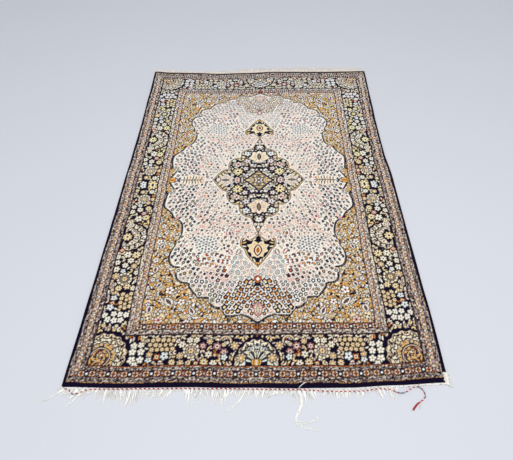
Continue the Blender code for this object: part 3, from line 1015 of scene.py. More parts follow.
EDGE_LINES = ((7.0, "white"), (4.2, "brown"), (2.4, "olive"), (0.6, "gold"), (-1.2, "cream"), (-2.6, "navy"))
for inside in (in_medallion, in_pendant):
    for outwards, dye in EDGE_LINES:
        dyed(everywhere, inside + outwards, dye)
blobs = coils(6.4)
for dye, amount in (("cream", np.abs(blobs) - 0.95), ("pink", blobs - 1.3), ("honey", -blobs - 1.45)):
    dyed(everywhere, np.minimum(in_medallion - 6, amount * 4), dye)
print("medallion, metres:", round(2 * 0.238 * SQUARE, 3), "long")

# %% Flowers of the medallion
MEDALLION_FLOWERS = (
    # style, across, along, radius
    ("white", 0, 187, 12), ("blue", 46, 146, 13), ("lilac", 45, 104, 14), ("blush", 79, 84, 13),
    ("white", 27, 82, 7), ("white", 24, 54, 8), ("sun", 77, 45, 18), ("lilac", 50, 62, 11),
    ("blush", 80, 6, 10), ("cream", 96, 103, 8), ("speck", 62, 126, 8), ("white", 150, 3, 7),
    ("cream", 110, 44, 7), ("cream", 61, 84, 6), ("white", 98, 27, 7),
)  # fmt: skip
NAVY_SCROLLS = (
    ((60, 127), (46, 128), (37, 119), (31, 104), (22, 94), (10, 88)),
    ((74, 66), (62, 55), (52, 42), (40, 38)),
    ((24, 152), (32, 160), (46, 163)),
    ((40, 88), (37, 72), (26, 66), (14, 60)),
    ((84, 109), (98, 98), (104, 80), (98, 66)),
    ((112, 34), (108, 20), (94, 14), (84, 22), (88, 36), (100, 42)),
    ((12, 170), (20, 180), (13, 198)),
    ((62, 104), (72, 96), (66, 84)),
    ((92, 62), (96, 52), (108, 52)),
)
taken.clear()
chance = random.Random(8)


def medallion_leaf(x, y, size, kind, turn):
    dye = ("cream", "sand", "honey", "white", "cream", "pink")[int(kind * 99) % 6]
    if kind < 0.8:
        leaf(x, y, size * 2.4, size * 1.15, turn, dye, "navy", None, 3 * kind - 1.2)
    else:
        flower(x, y, size, "cream", turn, 2.4)


def in_ornament(x, y):
    return value_at(in_medallion, x, y) > 12.5


for style, *sizes in MEDALLION_FLOWERS:
    take(*squares(*sizes))
take(*squares(0, 128, 30))
take(*squares(124, 0, 26))
take(0, 0, 46)
print("leaves:", scatter(6000, (205, 290), in_ornament, (6.0, 7.0, 8.5), 1.05, medallion_leaf, chance))
for points in NAVY_SCROLLS:
    stem([squares(*point) for point in points], 8.5, "navy")
palmette(*squares(0, 130, 37, 37), 90, ("navy", "cream", "pink", "olive"), 7, False)
palmette(*squares(124, 0, 31, 27), 0, ("navy", "milk", "mauve", "grey"), 7, False)
for style, x, y, r in MEDALLION_FLOWERS:
    flower(*squares(x, y, r), style, 23 * r, 3.6)
for x, y, long, wide, turn, dye in (
    (43, 30, 40, 8, 132, "white"),
    (33, 44, 26, 7, 132, "sky"),
    (19, 101, 26, 6, 52, "sky"),
    (92, 88, 24, 9, 115, "cream"),
    (100, 25, 20, 8, 80, "white"),
    (64, 15, 26, 8, 165, "grey"),
    (60, 92, 20, 8, 60, "sand"),
):
    leaf(*squares(x, y), long, wide, turn, dye, "navy", "slate")
for x, y, r, dye in (
    (3, 87, 10, "navy"),
    (3, 67, 9, "navy"),
    (0, 77, 5, "cream"),
    (0, 77, 2.5, "orange"),
    (7, 165, 7, "navy"),
    (14, 158, 6, "navy"),
):
    dot(x, y * SQUARE, r, dye)

# The pale diamond in its middle, with hollow sides.
hollow = 50 * (1 - (whole_x / 66) ** 0.85 - (whole_y / 68) ** 0.85)
dyed(everywhere, hollow + 8, "navy")
dyed(everywhere, hollow, "grey")
flecks(everywhere, hollow - 2, "olive", "sand")
for sign in (-1, 1):  # streaks in the four large blossoms
    for turn, reach in ((30, 20), (52, 17), (76, 15)):
        c, s = pointing(turn)
        for x, y, angle in (
            (reach * s * SQUARE * 1.1, (130 + sign * reach * c) * SQUARE, 90 - sign * turn),
            ((124 + sign * reach * c) * SQUARE, reach * s * SQUARE, sign * turn),
        ):
            leaf(x, y, 22, 4.4, angle, "honey" if turn == 52 else "mauve")
for x, y, r, dye in (
    (17, 26, 5, "honey"),
    (33, 9, 5, "gold"),
    (22, 14, 4, "slate"),
    (7, 44, 4, "gold"),
    (44, 3, 3, "cream"),
):
    dot(x, y, r, dye)
part, along, across = around(0, 0, 26)
away, angle = polar(along, across)
dyed(part, 17 + 4 * np.cos(4 * angle) - away, "slate")
dyed(part, 12 + 4 * np.cos(4 * angle) - away, "sky")
dyed(part, 8 - away, "slate")
dyed(part, 4.5 - away, "orange")
dot(0, 34, 5, "ink")
dot(31, 0, 3, "ink")

# The pendants: a pale blossom with a spindle in a navy band, with striped leaves in both ears and in the tip.
palmette(*squares(0, 312, 35, 33), 90, ("navy", "cream", "honey", "cream"), 9, False)
leaf(*squares(0, 314, 46, 25), 90, "red", "brown")
leaf(*squares(0, 314, 38, 18), 90, "cream")
leaf(*squares(0, 314, 24, 10), 90, "orange", "gold")
for along, r in ((283, 4.5), (263, 8), (348, 7)):
    dot(*squares(0, along), r, "navy")
for across, along, long, turn, dye in (
    (45, -18, 20, 20, "gold"),
    (44, -4, 20, -10, "cream"),
    (46, -29, 18, 40, "cream"),
    (20, 44, 18, 112, "honey"),
    (10, 52, 22, 112, "cream"),
    (3, 62, 12, 90, "gold"),
    (13, -31, 20, 50, "cream"),
):
    leaf(across * SQUARE, PENDANT_Y + along * SQUARE, long, 6, turn, dye, "navy")
stem(((0, 240 * SQUARE), (1, 250 * SQUARE)), 3, "brown")
flower(*squares(6, 246), 6, "blush")
print("medallion flowers:", len(MEDALLION_FLOWERS))

# %% [markdown]
# ## A field strewn with florets
#
# Hundreds of florets stand on the ivory in rows, each zone with its own kind: pale blue rings under the
# pendant, rust hooks and red lozenges next to them, dark brown lozenges towards the tip, slate rings along
# the lobes, and mixed small ones elsewhere. A regular lattice would look printed, so its rows are bent by
# slow waves and each floret is nudged a little, with a fixed seed that gives the same field each time. Thin
# stems with pale leaves join them.

# %% Rows of florets
FLORET_ZONES = {
    # shape, radius, steps across and along, then dyes: outline, body and heart
    "dusk": (
        "mixed", 6.1, 19, 17.5,
        (("ink", "slate", "cream"), ("ink", "olive", "cream"), ("slate", "grey", "ink")),
    ),
    "mist": (
        "mixed", 6.4, 19, 17.5,
        (("grey", "white", "sand"), ("slate", "ivory", "rose"), ("olive", "sand", "white")),
    ),
    "chestnut": (
        "mixed", 7.2, 22, 20,
        (("ink", "rust", "gold"), ("ink", "brown", "orange"), ("ink", "olive", "sand")),
    ),
    "coal": (
        "mixed", 7.8, 21, 18,
        (("ink", "slate", "sand"), ("ink", "ink", "slate"), ("slate", "olive", "cream")),
    ),
    "slate": (
        "ring", 9.4, 20, 17.5,
        (("ink", "slate", "white"), ("ink", "sand", "slate"), ("ink", "grey", "cream")),
    ),
    "sky": (
        "ring", 9.8, 26, 23,
        (("slate", "sky", "gold"), ("ink", "sky", "grey"), ("slate", "white", "olive")),
    ),
    "rust": (
        "hook", 9.4, 19, 26,
        (("ink", "orange", "ink"), ("brown", "gold", "ink"), ("ink", "rust", "gold")),
    ),
    "red": (
        "lozenge", 8.4, 22, 21,
        (("ink", "red", "orange"), ("ink", "rust", "ink"), ("ink", "brown", "rose")),
    ),
    "earth": (
        "lozenge", 11.4, 20.5, 17.5,
        (("ink", "brown", "orange"), ("ink", "ink", "honey"), ("ink", "rust", "gold")),
    ),
    "olive": (
        "ring", 8.0, 20, 20,
        (("ink", "olive", "gold"), ("brown", "olive", "cream")),
    ),
}  # fmt: skip


def zone_at(across, along):
    """The kind of floret at a place, in squares from the middle of the field."""
    if along > 424 and across < min(104, 0.9 * (along - 372)):
        return "earth"
    if 338 < along < 424 and across < 88:
        return "sky"
    if 325 < along <= 384 and across < 186:
        return "rust"
    if 384 < along < 426 and across < 165:
        return "red"
    if along > 380 and across > 205:
        return "olive"
    if along > 426:
        return "slate"
    if across > 178 and (along > 305 or 40 < across - 178 and along < 245):
        return "coal"
    if abs(along - 195) < 16 and across < 110 or math.sin(across / 27 + 1) * math.sin(along / 31 + 2) > 0.5:
        return "chestnut"
    veil = math.sin(across / 16 + 2 * math.sin(along / 29)) * math.sin(along / 19 + math.sin(across / 25))
    return "dusk" if veil > -0.05 else "mist"


def floret(x, y, r, shape, dyes, kind, turn):
    """A tiny flower in a pale halo: an outlined body with a heart, a hook or an outlined slanting leaf."""
    edge, body, heart = dyes
    dot(x, y, r + 2.2, "white")
    if shape == "mixed":
        shape = "ring" if kind < 0.30 else "lozenge" if kind < 0.45 else "leaf" if kind < 0.80 else "hook"
    if shape == "hook":
        scroll(x, y, r * 0.62, r * 0.62, turn + 90, body, edge, gap=60)
    elif shape == "leaf":
        leaf(x, y, r * 2.2, r * 1.15, turn, body, edge, heart)
    else:
        part, along, across = around(x, y, r + 3, turn if shape == "ring" else 45 + turn / 6)
        power = 2.0 if shape == "ring" else 3.4
        away = (np.abs(along) ** power + np.abs(1.15 * across) ** power) ** (1 / power)
        rim = r * (1.0 + 0.10 * np.cos(5 * np.arctan2(across, along))) - away
        dyed(part, rim, edge)
        dyed(part, rim - (2.6 if r < 9 else 3.2), body)
        dyed(part, (0.30 if r < 8 else 0.38) * r - away, heart)


def bare(x, y, room):
    """Whether a place on the ivory is free of the edge, the ornaments and the medallion's long tip."""
    below_tip = 262 * SQUARE - y
    if 0 < below_tip < 90 * SQUARE and x < 0.55 * below_tip:
        return False
    clear = value_at(in_field, x, y) > room
    return clear and value_at(in_medallion, x, y) < -room and value_at(in_pendant, x, y) < -room


CLOUDS = (
    # across and along in squares, and reach
    (55, 480, 85), (130, 435, 65), (60, 232, 45), (150, 205, 40),
    (10, 425, 45), (245, 100, 55), (120, 20, 30),
)  # fmt: skip


def blush_at(x, y):
    """How pink the ivory is at a place: warm clouds beside the pendants and towards the tips."""
    return np.max([np.exp(-((x - cx) ** 2 + (y - cy) ** 2) / r**2) for cx, cy, r in CLOUDS], axis=0)


# The ivory itself is flecked, and pinker where the clouds are.
on_ivory = np.minimum(np.minimum(in_field, -in_medallion), -in_pendant) - 9
rosy = blush_at(whole_x / SQUARE, whole_y / SQUARE)
other = np.roll(mottle, (211, 97), (0, 1))
for dye, amount in (
    ("sand", mottle - 0.9),
    ("white", -mottle - 1.2),
    ("grey", mottle - 1.7),
    ("pink", other + 1.5 * rosy - 1.5),
    ("rose", other + 1.5 * rosy - 1.9),
    ("mauve", coarse + 1.4 * (whole_y > 400 * SQUARE) - 1.9),
):
    dyed(everywhere, np.minimum(on_ivory, amount * 2), dye)
chance = random.Random(12)
for _ in range(900):
    x, y = chance.uniform(0, 400), chance.uniform(0, 680)
    if bare(x, y, 12) and blush_at(x / SQUARE, y / SQUARE) > chance.random() * 1.2:
        leaf(x, y, 30, 15, chance.uniform(0, 180), chance.choice(("pink", "blush", "rose")))
GARLAND, NICHE = squares(168, 292), 250 * SQUARE  # the rows leave room for what is drawn there below
LEAF_DYES = ("mauve", "rose", "sand", "grey")
made = 0
for zone, (shape, radius, step_x, step_y, dyes) in FLORET_ZONES.items():
    for row in range(int(720 / step_y)):
        line = []
        for column in range(-1, int(440 / step_x)):
            x = (column + 0.5 * (row % 2)) * step_x + 6
            y = row * step_y + 4
            x += 7 * math.sin(0.017 * y + 0.5) + chance.uniform(-4.2, 4.2)
            y += 9 * math.sin(0.021 * x) + chance.uniform(-4.0, 4.0)
            if not bare(abs(x), y, radius + 5) or zone_at(abs(x) / SQUARE, y / SQUARE) != zone:
                continue
            if math.hypot(x - GARLAND[0], y - GARLAND[1]) < 49 or abs(x - NICHE) < 50 and y < 26:
                continue
            line.append((abs(x), y, column))
        for start, end in zip(line, line[1:]):
            if math.dist(start[:2], end[:2]) < 32:
                middle = ((start[0] + end[0]) / 2 + 3, (start[1] + end[1]) / 2 - 6)
                stem((start[:2], middle, end[:2]), 2.2, ("rose", "grey", "sand")[row % 3], 1.5)
                leaf(*middle, 10, 4.6, chance.uniform(0, 180), chance.choice(LEAF_DYES))
        for x, y, column in line:
            if zone in ("dusk", "mist") and (column + row // 2) % 3 == 0:
                dye = chance.choice(("pink", "sand", "rose", "grey", "olive"))
                leaf(x, y, 15, 8, chance.uniform(0, 180), dye, "white", "mauve")
                continue
            size = radius * chance.uniform(0.68, 1.16)
            floret(x, y, size, shape, chance.choice(dyes), chance.random(), chance.uniform(30, 120))
            made += 1
print("florets in a quarter of the field:", made)

# %% Sprays and clusters that stand out of the rows
for ring in range(4):  # the grey garland of small rings
    for i in range(max(1, 6 * ring)):
        turn = math.tau * i / max(1, 6 * ring) + 0.5 * ring
        x, y = GARLAND[0] + 13.5 * ring * math.cos(turn), GARLAND[1] + 13 * ring * math.sin(turn)
        floret(x, y, 5.4, "ring", ("slate", "white" if ring % 2 else "sand", "grey"), 0, 60 * turn)
for i in range(7):  # the fern between the niche and the medallion, its leaflets longest in the middle
    long = 17 + 13 * math.sin(0.3 + 0.42 * i)
    dye = ("brown", "gold", "olive")[i % 3]
    x, y = squares(214 + 10.5 * i, 3 + 0.27 * long)
    leaf(x, y, long, 5.4, 118 - 5 * i, dye, "cream", None, 0.8)
stem(((205 * SQUARE, 1), (250 * SQUARE, 2), (290 * SQUARE, 1)), 2.4, "brown")
dot(*squares(296, 0), 6, "navy")
leaf(*squares(300, 5), 22, 5, 40, "navy")
leaf(*squares(318, 0, 26, 26), 0, "gold", "brown", "orange")
palmette(*squares(0, 520, 23, 15), 90, ("brown", "rose", "pink", "cream"), 7)
for turn in (50, 130):  # blossom on the long axis below the pendants
    leaf((130 - turn) / 8 - 5, 437 * SQUARE, 30, 11, turn, "navy")
leaf(*squares(0, 420), 34, 28, 90, "orange", "rust")
leaf(*squares(0, 420), 16, 12, 90, "white")
for i, dye in enumerate(("mauve", "rose")):  # long leaves beside the pendant
    leaf(*squares(62 + 27 * i, 322 - 3 * i), 30, 14, 65 + 55 * i, dye, "slate", "white")
print("sprays drawn")

# %% [markdown]
# ## Guard stripes
#
# The narrow bands come last, because they cut off whatever reached over their lines. The grey ones are
# flecked with short bars of lighter and darker silk. The others carry a white flower in a dark ring and a
# mauve one by turns. At the ends they are orange, with slanting petals between the flowers, and along the
# sides grey and mauve, with three rows of short dashes.

# %% Lay the stripes
guards = (band != MAIN_BORDER) & (band != FIELD)
ground = np.array([DYES[name] for name in BAND_DYES])[band]
chart[guards] = ground[guards]
fleck_end = rng.random((LONG // 3 + 1, WIDE // 9 + 1)).repeat(3, 0).repeat(9, 1)[:LONG, :WIDE]
fleck_side = rng.random((LONG // 9 + 1, WIDE // 3 + 1)).repeat(9, 0).repeat(3, 1)[:LONG, :WIDE]
streak = averaged(np.where(on_side, fleck_side, fleck_end), 1)
streak = (streak - streak.mean()) / streak.std() * 0.8 + 0.5 * mottle
# The innermost grey stripe is lighter.
streak += 0.3 * on_side - 0.6 * (band == 8) - 0.4 * ((band == 8) & on_side)
grey_guard = (band == 2) | (band == 4) | (band == 8)
flower_guard = (band == 3) | (band == 9)
side_lines = (depth < 28) | (np.abs(depth - 45.5) < 1) | (np.abs(depth - 183) < 1)
end_lines = (depth < 28.6) | (np.abs(depth - 45.2) < 1) | (np.abs(depth - 182.9) < 1)
for name, chosen in (
    ("mauve", flower_guard & on_side),
    ("grey", flower_guard & on_side & (streak > 0.3)),
    ("ink", grey_guard & (streak > 0.95)),
    ("slate", grey_guard & (streak > 0.35) & (streak < 0.95)),
    ("mauve", grey_guard & (streak < -0.70)),
    ("cream", grey_guard & (streak < -1.55)),
    ("brown", grey_guard & ~on_side & (coarse > 0.8)),
    ("brown", flower_guard & ~on_side & (mottle > 0.9)),
    ("orange", flower_guard & ~on_side & (mottle < 0.1)),
    ("slate", flower_guard & on_side & side_lines),
    ("ink", flower_guard & ~on_side & end_lines),
    ("brown", (band == 1) & (mottle > 0.2)),
    ("orange", (band == 5) & ~on_side & (mottle < 0.6)),
    ("slate", (band == 7) & (mottle > -0.2)),
    ("mauve", (band == 1) & on_side & (streak < 0.5)),
):
    chart[chosen] = DYES[name]


DASHES = ((-5.4, ("honey", "orange")), (0, ("grey", "cream")), (5.4, ("orange", "honey")))


def guard_flower(at, middle, side, big):
    """One step of the small repeat: a flower in a dark ring, with dashes or petals before and behind it."""
    x, y = (middle, at) if side else (at, middle)
    for step in (-1, 1):
        if side:
            for aside, dyes in DASHES:
                for i in range(2):
                    leaf(x + aside, y + step * (5.5 + 9 * i), 8.5, 4.4, 90, dyes[(i + big) % 2])
        else:
            leaf(x + step * 11, y - 4, 13, 3.4, -48 * step, "pink" if big else "honey", "brown")
            leaf(x + step * 11, y + 4, 13, 3.4, 48 * step, "honey" if big else "pink", "brown")
            dot(x + step * 17.3, y, 2.0, "rust" if big else "ink")
    dot(x, y, (9.4 if big else 7.0) - 3.4 * side, "navy" if big else "ink")
    dot(x, y, 4.0 if big else 3.8, "sky" if big else "mauve")
    dot(x, y, 2.2 if big else 1.8, "white" if big else "red")


for middle, first, step, side, limit in (
    (HALF_WIDE - 36.5, 0.0, 74.5, True, 888),
    (HALF_LONG - 41.5, 0.0, 69.3, False, 600),
    (HALF_WIDE - 192.0, 0.0, 74.5, True, 716),
    (HALF_LONG - 208.0, 29.2, 67.6, False, 442),
):
    at, big = first, first == 0
    while at < limit:
        guard_flower(at, middle, side, big)
        at, big = at + step / 2, not big
print("guard stripes done")

# %% [markdown]
# ## Tie the knots
#
# The pile is a fine grid, two and a half millimetres to a face. Each of its points takes the dye of the
# chart under it, with small drifts, because no row of hand-tied knots is straight. The outermost ring of
# points is pulled down to the cotton ground, which gives the pile its cut edge.

# %% Shape the grid
KNOTS_ACROSS, KNOTS_ALONG = 504, 748
PILE_FOOT = 0.0022
FRONT_OVERHANG = 0.0025  # how far the pile leans out over the strip at the front


def new_grid(name, across, along):
    """A flat grid of faces, 1 wide and 1 long. Its points get their places afterwards."""
    bpy.ops.object.select_all(action="DESELECT")
    bpy.ops.mesh.primitive_grid_add(x_subdivisions=across, y_subdivisions=along, size=1)
    grid = bpy.context.object
    grid.name = name
    return grid


pile = new_grid("pile", KNOTS_ACROSS, KNOTS_ALONG)
count = len(pile.data.vertices)
flat = np.empty(count * 3, np.float32)
pile.data.vertices.foreach_get("co", flat)
flat = flat.reshape(-1, 3)
column = np.rint((flat[:, 0] + 0.5) * KNOTS_ACROSS)
row = np.rint((flat[:, 1] + 0.5) * KNOTS_ALONG)
u = np.clip((column - 1) / (KNOTS_ACROSS - 2), 0, 1)
v = np.clip((row - 1) / (KNOTS_ALONG - 2), 0, 1)
dense = np.linspace(0, 1, 1201)
left = np.interp(v, dense, [side_x(-1, share, CARPET_INSET) for share in dense])
right = np.interp(v, dense, [side_x(1, share, CARPET_INSET) for share in dense])
front = np.interp(u, dense, [end_y(-1, share) - FRONT_OVERHANG for share in dense])
back = np.interp(u, dense, [end_y(1, share) for share in dense])
rng = np.random.default_rng(7)
skirt = (column == 0) | (column == KNOTS_ACROSS) | (row == 0) | (row == KNOTS_ALONG)
print("points in the pile:", count)

# %% Read the chart
BORDER_MIDDLE, FIELD_MIDDLE = -16.0, 14.7  # the field's middle lies a little behind the border's
FIELD_END = 707  # from the middle of the chart to the inner side of the end border, and so at the front
FIELD_BACK = 716  # the same at the back, where the border is narrower


def drift(x, y):
    """Slow drifts of the rows, in millimetres."""
    dx = 1.3 * np.sin(0.013 * y + 0.9) + 0.9 * np.sin(0.041 * y + 0.012 * x) + 0.5 * np.sin(0.09 * y + 2)
    dy = 1.3 * np.sin(0.015 * x + 2.1) + 0.8 * np.sin(0.037 * x + 0.017 * y) + 0.5 * np.sin(0.11 * x + 1)
    return dx, dy


def read_chart(x, y, far):
    """The dyes of the chart at places in millimetres from the rug's middle, mirrored into its quarter."""
    off_x, off_y = drift(x, y)
    across = np.abs(x + off_x)
    y = y + off_y
    in_border = HALF_WIDE - across < SIDE_STOPS[-1]
    middle = np.where(in_border, BORDER_MIDDLE, FIELD_MIDDLE)
    # The back half is knotted a little tighter on the long axis and looser along the sides.
    tight = np.interp(y - middle, (0, 180, 300, 480, 700), (0, 0, 5, 11, 0))
    loose = np.interp(y - middle, (0, 100, 290, 430, 700), (0, -6, -15, -12, 0))
    share = np.clip((across - 80) / 170, 0, 1)
    y = np.where(in_border, y, y + tight * (1 - share) + loose * share)
    ahead, rest = (middle - y) / (middle + FIELD_END) * FIELD_END, -y
    front = np.where(middle - y < middle + FIELD_END, ahead, rest)
    ahead = (y - middle) / (FIELD_BACK - middle) * FIELD_END
    rest = HALF_LONG - (HALF_LONG - y) * (HALF_LONG - FIELD_END) / (HALF_LONG - FIELD_BACK)
    back = np.where(y < FIELD_BACK, ahead, rest)
    along = np.where(y < middle, front, back)
    i = np.clip(across / FINE - 0.5, 0, WIDE - 1.001)
    j = np.clip(along / FINE - 0.5, 0, LONG - 1.001)
    i0, j0 = i.astype(int), j.astype(int)
    s, t = (i - i0)[:, None], (j - j0)[:, None]
    both = []
    for picture in (soft, sharp):
        upper = picture[j0, i0] * (1 - s) + picture[j0, i0 + 1] * s
        lower = picture[j0 + 1, i0] * (1 - s) + picture[j0 + 1, i0 + 1] * s
        both.append(upper * (1 - t) + lower * t)
    return both[0] * (1 - far) + both[1] * far, across, along


soft = averaged(chart, 1)
sharp = np.clip(soft + 1.5 * (soft - averaged(chart, 9)), DYES["navy"], 1)
soft = np.clip(soft + 0.8 * (soft - averaged(chart, 5)), DYES["navy"], 1)
# Places on an even rectangle. The chart is stretched a little towards the front, over the strip.
x_even = (u - 0.5) * round(1000 * (RUG_WIDTH - 2 * CARPET_INSET), 1)
y_even = (v - 0.5) * 1000 * RUG_LENGTH - 2000 * FRONT_OVERHANG * np.clip(0.5 - v, 0, 1)
x_mm, y_mm = 1000 * (left + (right - left) * u), 1000 * (front + (back - front) * v)
# The bands follow the uneven edges, and the field keeps its own straight middle lines.
follow_x = np.clip(1 - (HALF_WIDE - np.abs(x_even)) / 300, 0, 1)
follow_y = np.clip(1.9 * np.abs(y_even) / HALF_LONG - 0.9, 0, 1)
x_mm, y_mm = x_mm + (x_even - x_mm) * follow_x, y_mm + (y_even - y_mm) * follow_y
far = v[:, None]
knots, across, along = read_chart(x_mm, y_mm, far)

def in_chart(table, across, along):
    """A distance table of the chart at many places."""
    i, j = np.clip(across / FINE, 0, WIDE - 1), np.clip(along / FINE, 0, LONG - 1)
    return table[j.astype(int), i.astype(int)]


on_field = in_chart(on_ivory, across, along) > -7
# Painted sheen: the ivory field turns paler over the back half, as silk pile looks from its front end.
knots += (DYES["ivory"] - knots) * (0.30 * np.clip(2 * far - 1, 0, 1) * on_field[:, None])
# At the back the border's pile shows more contrast, and at its end the colours turn beige: painted sheen.
knots += (knots - 0.30) * np.clip(far - 0.5, 0, 1) * 0.7 * ~on_field[:, None]
knots = np.clip(knots, DYES["navy"], 1)
beige_sheen = np.clip((far - 0.86) / 0.05, 0, 1) * 0.5
knots += (knots.mean(1, keepdims=True) * (1.2, 1.0, 0.86) - knots) * beige_sheen
knots *= (1 + 0.10 * rng.standard_normal(count))[:, None]
# Old smudges: x and y in millimetres, reach, and the share of red, green and blue light that they take away.
for x0, y0, reach, taken_light in (
    (469, 111, 40, (0.02, 0.16, 0.16)),
    (-387, 511, 42, (0.14, 0.15, 0.16)),
    (-400, 336, 38, (0.12, 0.13, 0.13)),
    (100, -576, 32, (0.14, 0.14, 0.13)),
):
    share = np.exp(-((x_mm - x0) ** 2 + (y_mm - y0) ** 2) / reach**2)
    knots *= 1 - share[:, None] * taken_light
knots *= (1 + 0.025 * np.sin(y_mm / 31 + 2 * np.sin(y_mm / 90)))[:, None]  # dye lots, row by row
# Painted sheen: the pile's colours are made lighter and lighter towards its back end, as silk pile looks when
# seen from its front. All dyes are also warmed a little.
knots = (knots * (1 + 0.28 * far) + 0.008 * far) * (1.0, 0.98, 0.925)
bare_corner = (x_even > 611 + 3 * rng.random(count)) & (y_even < FRAYED_CORNER * 1000 - HALF_LONG)
knots[bare_corner] = linear(236, 228, 214)
print("mean dye of the pile:", knots.mean(0).round(3))

# %% Give each point its place and its dye
shade = knots.mean(1)
relief = 0.00022 * (shade - 0.35) + 0.00006 * rng.standard_normal(count)
place = np.empty((count, 3), np.float32)
place[:, 0] = left + (right - left) * u
place[:, 1] = front + (back - front) * v
place[:, 2] = lift(u, v) + np.where(skirt, PILE_FOOT, CARPET_THICK - 0.0001 + relief)
pile.data.vertices.foreach_set("co", place.ravel())
dye = pile.data.attributes.new("dye", "FLOAT_COLOR", "POINT")
colours = np.column_stack([np.clip(knots, 0, 1), np.ones(count)])
dye.data.foreach_set("color", colours.astype(np.float32).ravel())
print("pile height in mm:", round(float(place[:, 2].max()) * 1000, 2))

# %% [markdown]
# ## Divide the pile into its zones
#
# One mesh of three quarters of a million triangles is hard to handle, so the grid is cut along the pattern:
# four border strips, the spandrels, the ivory field in two halves and the medallion with its pendants.
# Faces are selected by their zone in edit mode, and Separate makes them a piece. Each zone also gets its
# own flat UV map. The side strips are folded in four there and the end strips in two, so that they fill
# their square better.

# %% Zone of each face, and the UV map
faces = len(pile.data.polygons)
corner_points = np.empty(faces * 4, np.int32)
pile.data.loops.foreach_get("vertex_index", corner_points)
corner_points = corner_points.reshape(-1, 4)
face_column = column[corner_points].min(1)
face_row = row[corner_points].min(1)
SIDE_COLUMNS, END_ROWS = 84, 88
ZONE_NAMES = (
    "pile_border_left", "pile_border_right", "pile_border_front", "pile_border_back",
    "pile_spandrels", "pile_ivory_front", "pile_ivory_back", "pile_medallion",
)  # fmt: skip
face_across, face_along = across[corner_points].mean(1), along[corner_points].mean(1)
face_field, face_medallion, face_pendant = (
    in_chart(table, face_across, face_along) for table in (in_field, in_medallion, in_pendant)
)
zone = np.where(face_field > 2.5, np.where(face_row < KNOTS_ALONG / 2, 5, 6), 4)
zone = np.where((face_medallion > -3.5) | (face_pendant > -3.5), 7, zone)
zone = np.where(face_row < END_ROWS, 2, np.where(face_row >= KNOTS_ALONG - END_ROWS, 3, zone))
zone = np.where(face_column < SIDE_COLUMNS, 0, np.where(face_column >= KNOTS_ACROSS - SIDE_COLUMNS, 1, zone))
pile.data.attributes.new("zone", "INT", "FACE").data.foreach_set("value", zone.astype(np.int32))

uv = np.zeros((faces, 4, 2), np.float32)
for number in range(8):
    chosen = zone == number
    columns, rows = column[corner_points[chosen]], row[corner_points[chosen]]
    columns, rows = columns - columns.min(), rows - rows.min()
    wide, high = columns.max(), rows.max()
    if number in (0, 1):
        quarter = KNOTS_ALONG // 4
        fold = face_row[chosen][:, None] // quarter
        uv[chosen, :, 0] = (fold + 0.01 + 0.98 * columns / wide) / 4
        uv[chosen, :, 1] = (rows - fold * quarter) / quarter
    elif number in (2, 3):
        fold = (face_column[chosen][:, None] - SIDE_COLUMNS) // (wide / 2)
        uv[chosen, :, 0] = (columns - fold * wide / 2) / (wide / 2)
        uv[chosen, :, 1] = (fold + 0.01 + 0.98 * rows / high) / 2
    else:
        uv[chosen, :, 0] = columns / wide
        uv[chosen, :, 1] = rows / high
for layer in list(pile.data.uv_layers):
    pile.data.uv_layers.remove(layer)
pile.data.uv_layers.new(name="OFBake").uv.foreach_set("vector", uv.ravel())
print("faces in each zone:", np.bincount(zone).tolist())

# %% Material of the silk pile
ROW_PITCH = 0.0026  # metres from one row of knots to the next
silk, net, place = new_finish("dyed_silk_pile")
dye = net.node("Attribute", {"attribute_name": "dye"}, out="Color")
tuft = place.cells(850.0, 0.6)
line = net.math("SINE", place.axis("Y") * (math.tau / ROW_PITCH))
dye_lots = net.node("Mapping", values={"Vector": place, "Scale": (0.5, 8.0, 1.0)}).noise(2.2, 2.0)
patch = place.noise(14.0, 4.0)
# Darker away from the middle of each tuft: painted shade between the tufts. Dye lots and patches vary it at
# random.
shade = 0.86 + dye_lots * 0.16 + patch * 0.16 - tuft * 0.16
bump = (line * 0.2 - tuft).bump(0.35, 0.0005)
shade_with(
    net, Base_Color=dye.shaded(shade), Roughness=0.50 + patch * 0.25, Normal=bump, Specular_IOR_Level=0.06
)
pile.data.materials.append(silk)
print("silk nodes:", len(silk.node_tree.nodes))

# %% Cut the zones apart
bpy.context.tool_settings.mesh_select_mode = (False, False, True)
pile.data.shade_smooth()
zones = []
for number, name in enumerate(ZONE_NAMES[:-1]):
    values = np.empty(len(pile.data.polygons), np.int32)
    pile.data.attributes["zone"].data.foreach_get("value", values)
    pile.data.vertices.foreach_set("select", np.zeros(len(pile.data.vertices), bool))
    pile.data.edges.foreach_set("select", np.zeros(len(pile.data.edges), bool))
    pile.data.polygons.foreach_set("select", values == number)
    bpy.ops.object.select_all(action="DESELECT")
    pile.select_set(True)
    bpy.context.view_layer.objects.active = pile
    bpy.ops.object.mode_set(mode="EDIT")
    bpy.ops.mesh.separate(type="SELECTED")
    bpy.ops.object.mode_set(mode="OBJECT")
    piece = next(item for item in bpy.context.selected_objects if item is not pile)
    piece.name = name
    zones.append(piece)
pile.name = ZONE_NAMES[-1]
zones.append(pile)
for piece in zones:
    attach(piece, "root")
    print(piece.name, len(piece.data.polygons) * 2, "triangles")

# %% [markdown]
# ## The cotton ground under the pile
#
# Warps and wefts make a thin firm cloth. Nothing of it shows from above, but its edge and its underside are
# part of the rug, and on the back of a real rug the pattern shows through. It is a grid laid to the same
# outline, with Solidify for its thickness. Its material draws the bands again from the distance to the
# edge.

# %% Cloth of the ground


def thicken(piece, thickness, offset):
    """Gives an active flat piece its thickness, above its faces (1) or below them (-1)."""
    body = piece.modifiers.new("thickness", "SOLIDIFY")
    body.thickness, body.offset = thickness, offset
    bpy.ops.object.modifier_apply(modifier="thickness")


